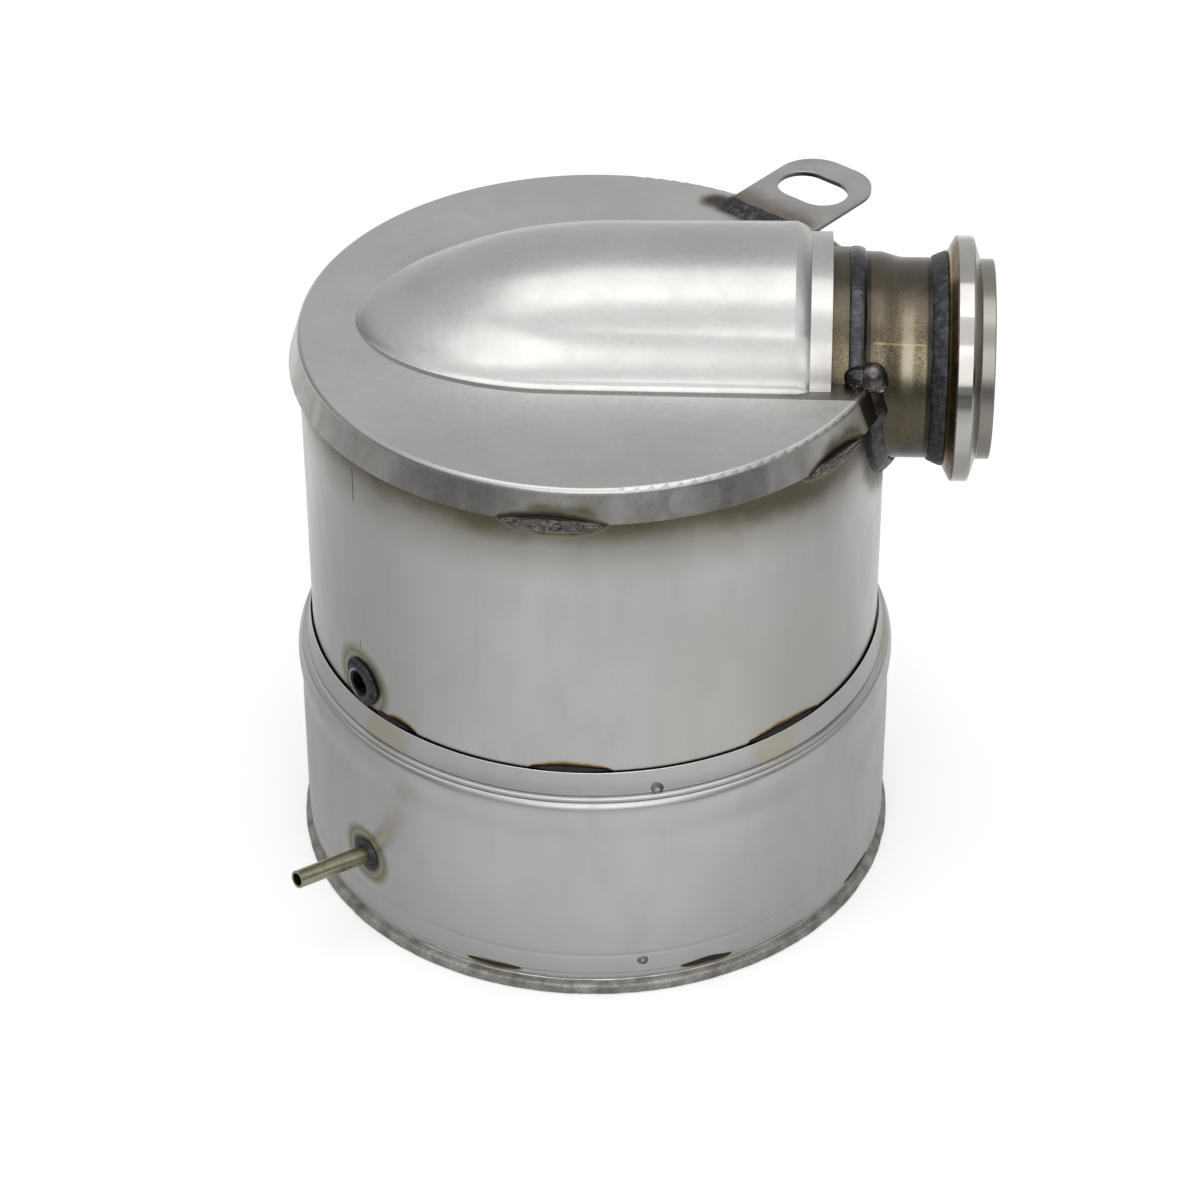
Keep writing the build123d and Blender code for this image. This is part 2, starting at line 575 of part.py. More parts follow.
def stitches(outline, runs):
    """Short weld beads bent round the body: each run is its middle azimuth and its arc."""
    for centre, arc in runs:
        ring_of_revolution(outline, arc, centre - arc / 2)


# Stitch welds: under the skirt, at the collar edge and at the foot of the jacket
with BuildPart() as skirt_welds:
    stitches(
        [(SHELL_R + HAIR, SKIRT_Z - HAIR), (LID_R + 0.2, SKIRT_Z - HAIR), (LID_R, SKIRT_Z - 2.0),
         (LID_R - 1.4, SKIRT_Z - 3.3), (SHELL_R + HAIR, SKIRT_Z - 3.8)],
        [(-94.8, 17.8), (-36.0, 14.0), (94.8, 17.8), (152.0, 17.8)],
    )
save(skirt_welds, "skirt_welds")

with BuildPart() as collar_welds:
    stitches(
        [(SHELL_R + HAIR, COLLAR_TOP + HAIR), (COLLAR_EDGE, COLLAR_TOP + HAIR),
         (COLLAR_EDGE - 0.05, COLLAR_TOP + 1.2), (SHELL_R + 0.9, COLLAR_TOP + 2.3),
         (SHELL_R + HAIR, COLLAR_TOP + 2.6)],
        [(-91.9, 14.9), (-46.9, 17.5), (-128.6, 7.1), (-2.0, 15.0), (43.0, 15.0), (88.0, 15.0), (133.0, 15.0),
         (178.0, 15.0)],
    )
save(collar_welds, "collar_welds")

with BuildPart() as base_welds:
    stitches(
        [(JACKET_R - 0.2, FOOT), (JACKET_R + 0.3, FOOT), (JACKET_R + 0.5, FOOT - 1.0),
         (JACKET_R + 0.3, FOOT - 2.0), (JACKET_R - 0.2, FOOT - 2.4)],
        [(-107.0, 10.3), (-65.6, 9.7), (-24.0, 10.0), (18.0, 10.0), (60.0, 10.0), (102.0, 10.0), (144.0, 10.0),
         (-172.0, 10.0)],
    )
save(base_welds, "base_welds")
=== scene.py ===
from math import cos, pi, radians, sin, sqrt

import bmesh
import bpy
from mathutils import Matrix, Vector, noise

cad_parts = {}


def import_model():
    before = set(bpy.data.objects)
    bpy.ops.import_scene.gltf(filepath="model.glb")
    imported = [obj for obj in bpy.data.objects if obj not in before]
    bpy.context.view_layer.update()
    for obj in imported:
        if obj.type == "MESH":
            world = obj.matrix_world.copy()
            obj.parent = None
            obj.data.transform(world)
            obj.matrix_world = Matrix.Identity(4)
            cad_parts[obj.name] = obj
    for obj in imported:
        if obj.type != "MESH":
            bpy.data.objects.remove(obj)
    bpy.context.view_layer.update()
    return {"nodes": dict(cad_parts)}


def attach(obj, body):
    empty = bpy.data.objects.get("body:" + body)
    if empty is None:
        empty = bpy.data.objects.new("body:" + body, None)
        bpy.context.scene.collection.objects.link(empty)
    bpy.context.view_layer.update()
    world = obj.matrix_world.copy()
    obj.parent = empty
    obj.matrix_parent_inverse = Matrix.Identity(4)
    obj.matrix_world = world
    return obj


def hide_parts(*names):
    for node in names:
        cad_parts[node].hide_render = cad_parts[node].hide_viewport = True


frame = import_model()
scene = bpy.context.scene
scene.view_settings.view_transform = "Standard"

# Sizes in millimetres, in the frame of the CAD
MM = 0.001
SHELL_R = 150.0
JACKET_R = 157.2
LID_R = 155.0
LID_TOP = 312.8
SKIRT_Z = 295.8
SKIRT_FLARE = 0.30588
COLLAR_TOP = 141.0
INLET_Y = 0.4
INLET_Z = 295.6
SWAGE_R = 53.5
WELD_X = 132.8
BUNG_AZ = -139.7
BUNG_Z = 153.9
SENSE_AZ = -137.2
SENSE_Z = 47.9
SEAM_AZ = -139.8
HOOD_HALF = 67.6     # half width of the hood at the lid
HOOD_NOSE = 105.8    # length of its rounded end
HOOD_BEND = -15.0    # x where the rounded end begins
ROPE_R = 54.1        # line of the rope over the tube, from the tube's axis
BALL_Y = 51.6        # balls beside the tube, from its axis
STITCH_R = 152.0     # radius at which the stitches' length is taken
BEAD_STEP = 0.45
LUG_AZ = 52.0
SKIRT_STITCHES = [(-94.8, 17.8), (-36.0, 14.0), (94.8, 17.8), (152.0, 17.8)]
COLLAR_STITCHES = [(-91.9, 14.9), (-46.9, 17.5), (-128.6, 7.1), (-2.0, 15.0), (43.0, 15.0), (88.0, 15.0),
                   (133.0, 15.0), (178.0, 15.0)]
BASE_STITCHES = [(-107.0, 10.3), (-65.6, 9.7), (-24.0, 10.0), (18.0, 10.0), (60.0, 10.0), (102.0, 10.0),
                 (144.0, 10.0), (-172.0, 10.0)]

# Camera in metres, its lens in millimetres
LENS = 120.443
CAMERA_PLACE = (0.08988, -1.72527, 1.40041)
CAMERA_RIGHT = (0.99887, 0.04739, -0.00415)
CAMERA_UP = (-0.02461, 0.58943, 0.80744)


def polar(azimuth, radius, z):
    a = radians(azimuth)
    return Vector((radius * cos(a), radius * sin(a), z))


def wall_axes(azimuth):
    """Outward direction at an azimuth, and the level one along the wall."""
    out = polar(azimuth, 1.0, 0.0)
    return out, Vector((-out.y, out.x, 0.0))


def leaning(out, tilt):
    """An outward direction turned up by an angle in radians."""
    return (out * cos(tilt) + Vector((0, 0, sin(tilt)))).normalized()


def swell(share, power=1.0):
    """0 at both ends of a line and 1 in its middle."""
    return sin(pi * share) ** power


def half_run(arc, radius=STITCH_R):
    """Half the length of an arc given in degrees."""
    return radians(arc / 2) * radius


def skirt_r(z):
    """Outside radius of the lid's flared skirt at a height."""
    return LID_R - (z - SKIRT_Z) * SKIRT_FLARE


def placed(name, data):
    """A new object in the scene."""
    obj = bpy.data.objects.new(name, data)
    scene.collection.objects.link(obj)
    return obj


# ---- materials ----
class Tree:
    """Adds nodes to a tree; sockets are passed as plain values."""

    def __init__(self, tree):
        self.tree = tree

    def node(self, kind):
        return self.tree.nodes.new("ShaderNode" + kind)

    def put(self, socket, value):
        if isinstance(value, bpy.types.NodeSocket):
            self.tree.links.new(value, socket)
        elif isinstance(value, tuple) and len(value) == 3 and socket.type == "RGBA":
            socket.default_value = (*value, 1.0)
        else:
            socket.default_value = value

    def vector(self, op, a, b=None, scale=None):
        n = self.node("VectorMath")
        n.operation = op
        self.put(n.inputs[0], a)
        if b is not None:
            self.put(n.inputs[1], b)
        if scale is not None:
            self.put(n.inputs["Scale"], scale)
        return n.outputs["Value" if op == "LENGTH" else "Vector"]

    def math(self, op, a, b=0.0, clamp=False):
        n = self.node("Math")
        n.operation = op
        n.use_clamp = clamp
        self.put(n.inputs[0], a)
        self.put(n.inputs[1], b)
        return n.outputs[0]

    def times(self, a, b):
        return self.math("MULTIPLY", a, b)

    def plus(self, a, b):
        return self.math("ADD", a, b)

    def minus(self, a, b):
        return self.math("SUBTRACT", a, b)

    def split(self, vec):
        n = self.node("SeparateXYZ")
        self.put(n.inputs[0], vec)
        return n.outputs[0], n.outputs[1], n.outputs[2]

    def remap(self, value, a, b, c=0.0, d=1.0, smooth=True):
        n = self.node("MapRange")
        n.interpolation_type = "SMOOTHSTEP" if smooth else "LINEAR"
        self.put(n.inputs["Value"], value)
        for key, v in (("From Min", a), ("From Max", b), ("To Min", c), ("To Max", d)):
            n.inputs[key].default_value = v
        return n.outputs["Result"]

    def place_of(self, output):
        n = self.node("TexCoord")
        return n.outputs[output]

    def rays(self):
        """Whether a ray comes from the camera, and whether from a mirror or glass."""
        path = self.node("LightPath")
        mirror = self.math("ADD", path.outputs["Is Glossy Ray"], path.outputs["Is Transmission Ray"], True)
        return path.outputs["Is Camera Ray"], mirror


class Net(Tree):
    """Builds one node material; lengths are in mm."""

    def __init__(self, name, metallic=1.0):
        self.mat = bpy.data.materials.new(name)
        self.mat.use_nodes = True
        super().__init__(self.mat.node_tree)
        self.sways = {}
        self.bsdf = self.tree.nodes["Principled BSDF"]
        self.bsdf.inputs["Metallic"].default_value = metallic
        self.place = self.vector("SCALE", self.place_of("Object"), scale=1000.0)
        self.x, self.y, self.z = self.split(self.place)

    def join(self, x, y, z):
        n = self.node("CombineXYZ")
        for socket, v in zip(n.inputs, (x, y, z)):
            self.put(socket, v)
        return n.outputs[0]

    def length(self, x, y, z=0.0):
        return self.vector("LENGTH", self.join(x, y, z))

    def noise(self, scale, detail=3.0, stretch=(1, 1, 1), distort=0.0):
        n = self.node("TexNoise")
        self.put(n.inputs["Vector"], self.vector("MULTIPLY", self.place, tuple(s * scale for s in stretch)))
        n.inputs["Scale"].default_value = 1.0
        n.inputs["Detail"].default_value = detail
        n.inputs["Roughness"].default_value = 0.55
        n.inputs["Distortion"].default_value = distort
        return n.outputs["Fac"]

    def band(self, value, a, b, soft):
        """1 between a and b, falling to 0 over soft on each side."""
        return self.times(self.remap(value, a - soft, a), self.remap(value, b + soft, b))

    def mix(self, fac, a, b):
        n = self.node("Mix")
        n.data_type = "RGBA"
        self.put(n.inputs[0], fac)
        self.put(n.inputs[6], a)
        self.put(n.inputs[7], b)
        return n.outputs[2]

    def paint(self, mask, colour, share=1.0):
        """Lays a colour over the material where the mask is 1, at a share of full strength."""
        self.colour = self.mix(mask if share == 1.0 else self.times(mask, share), self.colour, colour)

    def ramp(self, fac, stops):
        n = self.node("ValToRGB")
        points = n.color_ramp.elements
        while len(points) < len(stops):
            points.new(0.5)
        for e, (at, colour) in zip(points, stops):
            e.position = at
            e.color = (*colour, 1.0)
        self.put(n.inputs[0], fac)
        return n.outputs["Color"]

    def turned(self, centre, azimuth):
        """Place from a centre, with x outward, y along the wall and z up."""
        v = self.vector("SUBTRACT", self.place, tuple(centre))
        n = self.node("VectorRotate")
        n.rotation_type = "Z_AXIS"
        self.put(n.inputs["Vector"], v)
        n.inputs["Angle"].default_value = -radians(azimuth)
        return n.outputs["Vector"]

    def across_tube(self):
        """Place across the inlet tube: y and height from its axis, and the distance from it."""
        v = self.vector("SUBTRACT", self.place, (0.0, INLET_Y, INLET_Z))
        _, y, up = self.split(v)
        return y, up, self.vector("LENGTH", self.vector("MULTIPLY", v, (0.0, 1.0, 1.0)))

    def from_axis(self):
        """Distance from the body's axis."""
        return self.length(self.x, self.y)

    def wavy(self, value, scale, reach):
        """A value that slow noise moves to and fro."""
        return self.plus(value, self.times(self.sway(scale), reach))

    def sway(self, scale):
        """Slow noise about zero, made once for each scale."""
        if scale not in self.sways:
            self.sways[scale] = self.minus(self.noise(scale, 3.0), 0.5)
        return self.sways[scale]

    def capsule(self, azimuth, radius, z, half, reach, squash=(1.0, 1.0), wobble=0.0, wobble_scale=0.12):
        """Distance from a short line along the wall, as a share of reach."""
        x, y, up = self.split(self.turned(polar(azimuth, radius, z), azimuth))
        if half:
            y = self.math("MAXIMUM", self.minus(self.math("ABSOLUTE", y), half), 0.0)
        d = self.length(self.times(x, squash[0] / reach), self.times(y, 1.0 / reach),
                        self.times(up, squash[1] / reach))
        return self.wavy(d, wobble_scale, wobble) if wobble else d

    def eye(self, azimuth, radius, z, half, wide, depth=0.4, wobble=0.0, wobble_scale=0.12):
        """Distance across an eye-shaped spot on the wall with pointed ends, 1 at its outline."""
        x, y, up = self.split(self.turned(polar(azimuth, radius, z), azimuth))
        y = self.times(y, 1.0 / half)
        room = self.math("MAXIMUM", self.minus(1.0, self.times(y, y)), 0.0005)
        across = self.length(self.times(x, depth / wide), self.times(up, 1.0 / wide))
        d = self.math("DIVIDE", across, self.math("POWER", room, 0.6))
        return self.wavy(d, wobble_scale, wobble) if wobble else d

    def least(self, values):
        out = values[0]
        for v in values[1:]:
            out = self.math("MINIMUM", out, v)
        return out

    def bump(self, height, distance, normal=None):
        n = self.node("Bump")
        n.inputs["Distance"].default_value = distance * MM
        self.put(n.inputs["Height"], height)
        if normal is not None:
            self.put(n.inputs["Normal"], normal)
        return n.outputs["Normal"]

    def done(self, roughness, normal):
        for key, v in (("Base Color", self.colour), ("Roughness", roughness), ("Normal", normal)):
            self.put(self.bsdf.inputs[key], v)
        return self.mat


HALO = [(0.0, (0.050, 0.042, 0.030)), (0.60, (0.065, 0.055, 0.038)), (0.74, (0.15, 0.135, 0.10)),
        (1.0, (0.30, 0.285, 0.23))]
GLOW = [(0.0, (0.075, 0.068, 0.052)), (0.5, (0.125, 0.116, 0.092)), (1.0, (0.30, 0.29, 0.25))]
RINGS = [(0.0, (0.05, 0.045, 0.04)), (0.50, (0.06, 0.055, 0.05)), (0.545, (0.20, 0.185, 0.14)),
         (0.66, (0.30, 0.285, 0.225)), (0.71, (0.17, 0.158, 0.11)), (0.77, (0.25, 0.24, 0.18)),
         (1.0, (0.37, 0.36, 0.32))]
BURN = [(0.0, (0.010, 0.009, 0.010)), (0.48, (0.016, 0.012, 0.010)), (0.60, (0.10, 0.055, 0.022)),
        (0.74, (0.30, 0.235, 0.11)), (1.0, (0.40, 0.385, 0.34))]
SMEAR = [(0.0, (0.03, 0.022, 0.016)), (0.35, (0.06, 0.042, 0.026)), (0.65, (0.22, 0.18, 0.10)),
         (1.0, (0.38, 0.365, 0.31))]


def steel(name, base, dark, cloud, streak, streak_scale, rough, streak_bump, marks=(), extra=None, shape=None):
    """Satin stainless sheet: clouds, fine streaks, and heat marks given as (distances, colours, inner edge).

    A shape adds its height to the bump, and makes the lid's rounded rim rougher."""
    g = Net(name)
    clouds = g.noise(cloud, 4.0)
    fine = g.noise(streak_scale, 4.0, streak)
    smears = g.noise(0.06, 5.0, (1.0, 1.0, 0.35), distort=0.6)
    g.colour = g.mix(g.remap(clouds, 0.32, 0.68), dark, base)
    g.paint(g.remap(smears, 0.45, 0.75), tuple(0.8 * c for c in dark), 0.2)
    g.paint(g.remap(fine, 0.3, 0.7), tuple(1.2 * c for c in base), 0.12)
    roughness = g.remap(g.plus(g.times(fine, 0.4), g.times(smears, 0.6)), 0.3, 0.7, *rough)
    if extra:
        extra(g)
    for spots, stops, inner in marks:
        d = g.least(spots(g))
        g.paint(g.remap(d, 1.0, inner), g.ramp(d, stops))
        roughness = g.plus(roughness, g.remap(d, 1.0, 0.3, 0.0, 0.14))
    normal = g.bump(fine, streak_bump)
    normal = g.bump(g.noise(0.012, 1.0), 0.25, normal)
    if shape:
        rim = g.times(g.remap(g.from_axis(), 150.2, 151.0), g.remap(g.z, 309.5, 310.5, 0.0, 0.14))
        roughness = g.plus(roughness, rim)
        normal = g.bump(shape(g), 10.5, normal)
    return g.done(roughness, normal)


def hood_root(g):
    """Bump height that shades the lid as though the sheet turned up softly into the hood: from the distance to its
    outline and above the lid.
    """
    x = g.times(g.math("MINIMUM", g.plus(g.x, -HOOD_BEND), 0.0), HOOD_HALF / HOOD_NOSE)
    off = g.plus(g.length(x, g.plus(g.y, -INLET_Y)), -HOOD_HALF)
    near = g.remap(off, 62.0, 0.0, smooth=False)
    low = g.remap(g.z, LID_TOP + 26.0, LID_TOP - 2.0)
    return g.times(g.times(near, near), low)


def skirt_heat(g):
    """Dark edge round the stitches under the skirt, not reaching the top of the lid."""
    over = g.remap(g.z, 310.5, 312.0, 0.0, 2.0)
    return [g.plus(g.eye(az, 154.4, 293.6, half_run(arc) + 6.5, 11.0, 0.3, 0.4, 0.12), over)
            for az, arc in SKIRT_STITCHES]


def skirt_glow(g):
    """Soft olive dome on the skirt above each stitch, and a wider film along its edge."""
    over = g.remap(g.z, 310.5, 312.0, 0.0, 2.0)
    spots = []
    for az, arc in SKIRT_STITCHES:
        run = half_run(arc)
        spots.append(g.plus(g.capsule(az + 2.0, 152.6, 297.0, run * 0.45, 13.0, (0.3, 1.0), 0.5, 0.09), over))
        spots.append(g.eye(az, 152.6, 288.0, run + 8.0, 17.0, 0.3, 0.5, 0.07))
    return spots


def collar_burn(g):
    """Burnt edges of the collar's stitches, on the shell."""
    return [g.eye(az, 150.5, COLLAR_TOP - 0.4, half_run(arc, 151.0) + 3.0, 7.6, 0.5, 0.4, 0.09)
            for az, arc in COLLAR_STITCHES]


def base_burn(g):
    """Smears round the stitches at the foot, on the jacket and the ring below it."""
    return [g.eye(az, 157.2, 11.6, half_run(arc, 157.0) + 2.0, 3.3, 0.5, 0.6, 0.12)
            for az, arc in BASE_STITCHES]


def neck_heat(g):
    """Heat round the saddle weld, where the tube comes through the wall."""
    ring = g.math("MAXIMUM", g.minus(g.across_tube()[2], SWAGE_R), 0.0)
    front = g.plus(g.remap(g.x, 112.0, 126.0), g.remap(g.z, LID_TOP - 0.4, LID_TOP - 1.4))
    d = g.wavy(g.times(ring, 1.0 / 21.0), 0.07, 0.5)
    return [g.plus(d, g.times(g.minus(2.0, front), 3.0))]


def under_skirt(g):
    """Olive-brown film on the shell under the lid's skirt, darkened with painted shade under its overhang; painted
    shade inside the collar's gap; open ends of the seam.
    """
    edge = g.plus(g.wavy(g.z, 0.022, 15.0), g.remap(g.x, 60.0, 120.0, 0.0, 12.0))
    # Olive-brown tint below the skirt, and a darker band close under its edge: real film deepened with painted
    # shade under the overhang.
    g.paint(g.remap(edge, 252.0, 294.0), (0.165, 0.152, 0.108), 0.8)
    g.paint(g.remap(g.wavy(edge, 0.1, 4.0), 276.0, 293.0), (0.070, 0.061, 0.036), 0.9)
    # Painted shade: near black on the shell below the collar's top, inside the shaded gap.
    g.paint(g.remap(g.z, COLLAR_TOP + 1.2, COLLAR_TOP - 1.2), (0.015, 0.013, 0.012))
    seam = g.least([g.capsule(SEAM_AZ, SHELL_R, z, 0.0, reach) for z, reach in ((276.0, 12.0), (175.0, 5.5))])
    across = g.math("ABSOLUTE", g.split(g.turned(polar(SEAM_AZ, SHELL_R, 270.0), SEAM_AZ))[1])
    line = g.times(g.remap(seam, 1.0, 0.7), g.remap(across, 0.5, 0.25))
    g.paint(line, (0.02, 0.02, 0.02), 0.85)
    warm = g.capsule(-52.0, 150.0, 168.0, 18.0, 62.0, (0.5, 0.8), 0.8, 0.02)
    g.paint(g.remap(warm, 1.0, 0.2, 0.0, 0.35), (0.42, 0.385, 0.32))


def grey_skirt(g):
    """Smears and paler patches on the lid's skirt, and brown sheet near the neck."""
    edge = g.times(g.remap(g.z, 311.6, 309.6), g.remap(g.from_axis(), 146.5, 149.0))
    mottle = g.noise(0.06, 5.0, (1.0, 1.0, 0.5), distort=0.4)
    fine = g.noise(0.5, 4.0)
    grey = g.ramp(mottle, [(0.32, (0.262, 0.257, 0.240)), (0.5, (0.335, 0.33, 0.318)),
                           (0.66, (0.415, 0.41, 0.40))])
    grey = g.mix(g.times(g.remap(fine, 0.5, 0.7), 0.25), grey, (0.40, 0.395, 0.385))
    patch = g.capsule(-68.5, 152.5, 303.0, 6.5, 7.5, (0.3, 1.0), 0.25, 0.1)
    grey = g.mix(g.times(g.remap(patch, 1.0, 0.8), 0.45), grey, (0.58, 0.575, 0.56))
    g.paint(edge, grey)
    corner = g.vector("SUBTRACT", g.place, (138.0, -52.0, 306.0))
    burnt = g.wavy(g.vector("LENGTH", g.vector("MULTIPLY", corner, (1 / 58, 1 / 46, 1 / 34))), 0.07, 0.5)
    g.paint(g.remap(burnt, 1.1, 0.15, 0.0, 0.72), (0.155, 0.138, 0.115))


def lug_heat(g):
    """Brown edge on the lid along the lug's weld."""
    return [g.capsule(LUG_AZ, 133.5, LID_TOP, 30.0, 11.0, wobble=0.5, wobble_scale=0.09)]


def bung_rings(g):
    return [g.capsule(BUNG_AZ, SHELL_R, BUNG_Z + 0.4, 0.0, 24.0, wobble=0.10, wobble_scale=0.08)]


def sense_rings(g):
    return [g.capsule(SENSE_AZ, JACKET_R, SENSE_Z, 0.0, 20.0, wobble=0.14, wobble_scale=0.08)]


def collar_tint_and_edge_highlight(g):
    """Pale straw patches on the collar below each stitch, and a painted highlight on its rounded upper edge."""
    d = g.least([g.capsule(az - 3.0, 152.5, COLLAR_TOP - 6.0, 6.0, 14.0, (0.5, 1.0), 0.5, 0.1)
                 for az, _ in COLLAR_STITCHES[1:]])
    g.paint(g.remap(d, 1.0, 0.2, 0.0, 0.6), (0.36, 0.335, 0.235))
    # Painted highlight: a pale band along the collar's rounded top edge.
    g.paint(g.remap(g.z, 140.5, 140.8), (0.62, 0.62, 0.60), 0.8)


HEAD = steel("pressed_steel", base=(0.43, 0.425, 0.415), dark=(0.385, 0.38, 0.37), cloud=0.012,
             streak=(1, 1, 1), streak_scale=0.35, rough=(0.25, 0.33), streak_bump=0.001,
             marks=[(neck_heat, HALO, 0.3), (skirt_glow, GLOW, 0.35), (skirt_heat, HALO, 0.6),
                    (lug_heat, HALO, 0.3)], extra=grey_skirt, shape=hood_root)
SHELL = steel("shell_steel", base=(0.42, 0.42, 0.415), dark=(0.385, 0.385, 0.38), cloud=0.008,
              streak=(3, 3, 0.12), streak_scale=0.6, rough=(0.26, 0.36), streak_bump=0.002,
              marks=[(neck_heat, HALO, 0.3), (skirt_heat, HALO, 0.6), (bung_rings, RINGS, 0.8),
                     (collar_burn, BURN, 0.7)], extra=under_skirt)
JACKET = steel("jacket_steel", base=(0.43, 0.43, 0.43), dark=(0.385, 0.385, 0.385), cloud=0.008,
               streak=(0.08, 0.08, 3.0), streak_scale=0.8, rough=(0.3, 0.4), streak_bump=0.003,
               marks=[(sense_rings, RINGS, 0.8), (base_burn, SMEAR, 0.7)], extra=collar_tint_and_edge_highlight)


def weld_metal(name, low, mid, high, speck, gloss):
    """Rough weld bead in three tones, with fine paler specks."""
    g = Net(name)
    a = g.noise(0.30, 5.0)
    b = g.noise(1.5, 4.0)
    g.colour = g.ramp(a, [(0.32, low), (0.52, mid), (0.70, high)])
    g.paint(g.remap(b, 0.64, 0.76), speck)
    return g.done(g.remap(b, 0.3, 0.7, gloss, gloss + 0.22), g.bump(b, 0.22, g.bump(a, 0.3)))


def neck_metal():
    """Weld round the neck: glossy grey rope, brown blob, brown run on the skirt, grey rough bead below it."""
    g = Net("neck_weld_metal")
    a = g.noise(0.18, 4.0)
    b = g.noise(0.9, 4.0)
    tone = g.remap(a, 0.35, 0.7)
    g.colour = g.mix(tone, (0.034, 0.035, 0.038), (0.064, 0.064, 0.070))
    side = g.mix(tone, (0.020, 0.016, 0.012), (0.052, 0.042, 0.032))
    low = g.mix(tone, (0.042, 0.043, 0.047), (0.088, 0.088, 0.095))
    tint = g.plus(g.noise(0.14, 3.0), g.remap(g.x, 136.0, 148.0, -0.1, 0.2))
    ball = g.mix(g.remap(tint, 0.42, 0.6), (0.135, 0.108, 0.092), (0.085, 0.083, 0.088))
    off = g.math("ABSOLUTE", g.minus(g.x, WELD_X))
    edge = g.times(g.remap(off, 3.1, 3.9), g.remap(g.z, 321.0, 326.0))
    g.paint(edge, (0.012, 0.011, 0.012))
    g.paint(g.times(g.remap(g.wavy(g.x, 0.15, 5.0), 134.5, 138.5), g.remap(g.z, 332.0, 325.0)), ball)
    specks = g.times(g.remap(g.noise(0.55, 2.0), 0.60, 0.66), g.band(g.z, 308.5, 315.0, 1.5))
    g.paint(specks, (0.62, 0.56, 0.46))
    g.paint(g.remap(g.wavy(g.z, 0.15, 4.0), 311.5, 308.5), side)
    g.paint(g.remap(g.wavy(g.z, 0.15, 3.0), 297.5, 295.5), low)
    # Painted shadow: a thin black line along the outer edge of the bead beside the tube, below the lid.
    rim = g.times(g.remap(g.across_tube()[2], 57.2, 58.4), g.remap(g.z, 309.0, 306.0))
    g.paint(rim, (0.012, 0.011, 0.011))
    rough = g.plus(g.remap(b, 0.3, 0.7, 0.34, 0.48), g.remap(g.z, 309.0, 312.5, 0.0, -0.15))
    deep = g.remap(g.z, 311.0, 308.0, 0.25, 1.25)
    skin = g.plus(g.times(b, deep), g.times(a, 0.5))
    return g.done(rough, g.bump(skin, 0.22))


def burnt_metal():
    """Black and brown crust of the thin stitches."""
    g = Net("burnt_metal", 0.6)
    a = g.noise(0.5, 5.0)
    g.colour = g.ramp(a, [(0.3, (0.010, 0.009, 0.009)), (0.6, (0.025, 0.019, 0.015)),
                          (0.78, (0.075, 0.050, 0.028))])
    return g.done(g.remap(a, 0.3, 0.7, 0.45, 0.75), g.bump(g.noise(1.2, 4.0), 0.2))


def stitch_metal():
    """Low weld with pointed ends: black outline, paler rim below, brown-grey wrinkles inside."""
    g = Net("stitch_metal", 0.9)
    a = g.noise(0.28, 5.0, distort=1.2)
    b = g.noise(1.3, 4.0)
    g.colour = g.ramp(a, [(0.34, (0.030, 0.027, 0.024)), (0.46, (0.095, 0.089, 0.081)),
                          (0.56, (0.14, 0.132, 0.122)), (0.72, (0.22, 0.21, 0.198))])
    g.paint(g.remap(b, 0.45, 0.7), (0.085, 0.073, 0.06), 0.4)
    d = g.least([g.eye(az, 154.9, 294.4, half_run(arc) + 2.5, 6.6, 0.3, 0.10, 0.3)
                 for az, arc in SKIRT_STITCHES])
    g.paint(g.times(g.band(d, 0.62, 0.80, 0.08), g.remap(g.z, 293.5, 291.0)), (0.27, 0.25, 0.21))
    g.paint(g.remap(d, 0.66, 0.82), (0.020, 0.017, 0.014))
    return g.done(g.remap(b, 0.3, 0.7, 0.32, 0.52), g.bump(b, 0.12, g.bump(a, 0.55)))


def tube_steel():
    """Heat-tinted tube: olive gold with brown clouds, dark by both welds, a lengthwise seam; painted shade on its
    top and underside, and a painted highlight round it where the swage ends.
    """
    g = Net("tube_steel")
    spots = g.noise(0.9, 4.0)
    clouds = g.noise(0.045, 4.0)
    rings = g.noise(0.13, 3.0, (1.0, 0.10, 0.10))
    tone = g.plus(g.times(clouds, 0.45), g.times(rings, 0.55))
    g.colour = g.ramp(tone, [(0.36, (0.072, 0.060, 0.042)), (0.5, (0.125, 0.107, 0.070)),
                             (0.64, (0.205, 0.18, 0.115))])
    g.paint(g.remap(spots, 0.44, 0.62), (0.052, 0.042, 0.030), 0.65)
    y, up, _ = g.across_tube()
    # Painted shade: darker on the top of the tube, standing in for its reflection of the dimmer studio behind.
    g.paint(g.remap(g.wavy(up, 0.05, 16.0), 36.0, 48.0), (0.062, 0.053, 0.042), 0.75)
    # Painted shade: darker on the lower side of the tube, standing in for its reflection of the floor and the
    # shell.
    g.paint(g.remap(g.wavy(up, 0.05, 10.0), 20.0, 8.0), (0.066, 0.057, 0.042), 0.65)
    # Painted highlight: a pale band round the tube where the swage ends.
    pale = g.times(g.band(g.x, 157.0, 159.5, 3.0), g.remap(g.math("ABSOLUTE", g.plus(up, -27.0)), 22.0, 4.0))
    g.paint(pale, (0.36, 0.335, 0.25), 0.55)
    for at, wide in ((138.3, 0.8), (169.2, 0.7)):
        g.paint(g.band(g.x, at - wide, at + wide, 1.2), (0.03, 0.026, 0.022))
    seam = g.math("ABSOLUTE", g.minus(g.math("ARCTAN2", up, g.times(y, -1.0)), 0.69))
    seam = g.times(g.remap(seam, 0.014, 0.005), g.band(g.x, 143.0, 165.0, 3.0))
    g.paint(seam, (0.42, 0.33, 0.18), 0.4)
    return g.done(g.remap(clouds, 0.3, 0.7, 0.24, 0.36), g.bump(spots, 0.012))


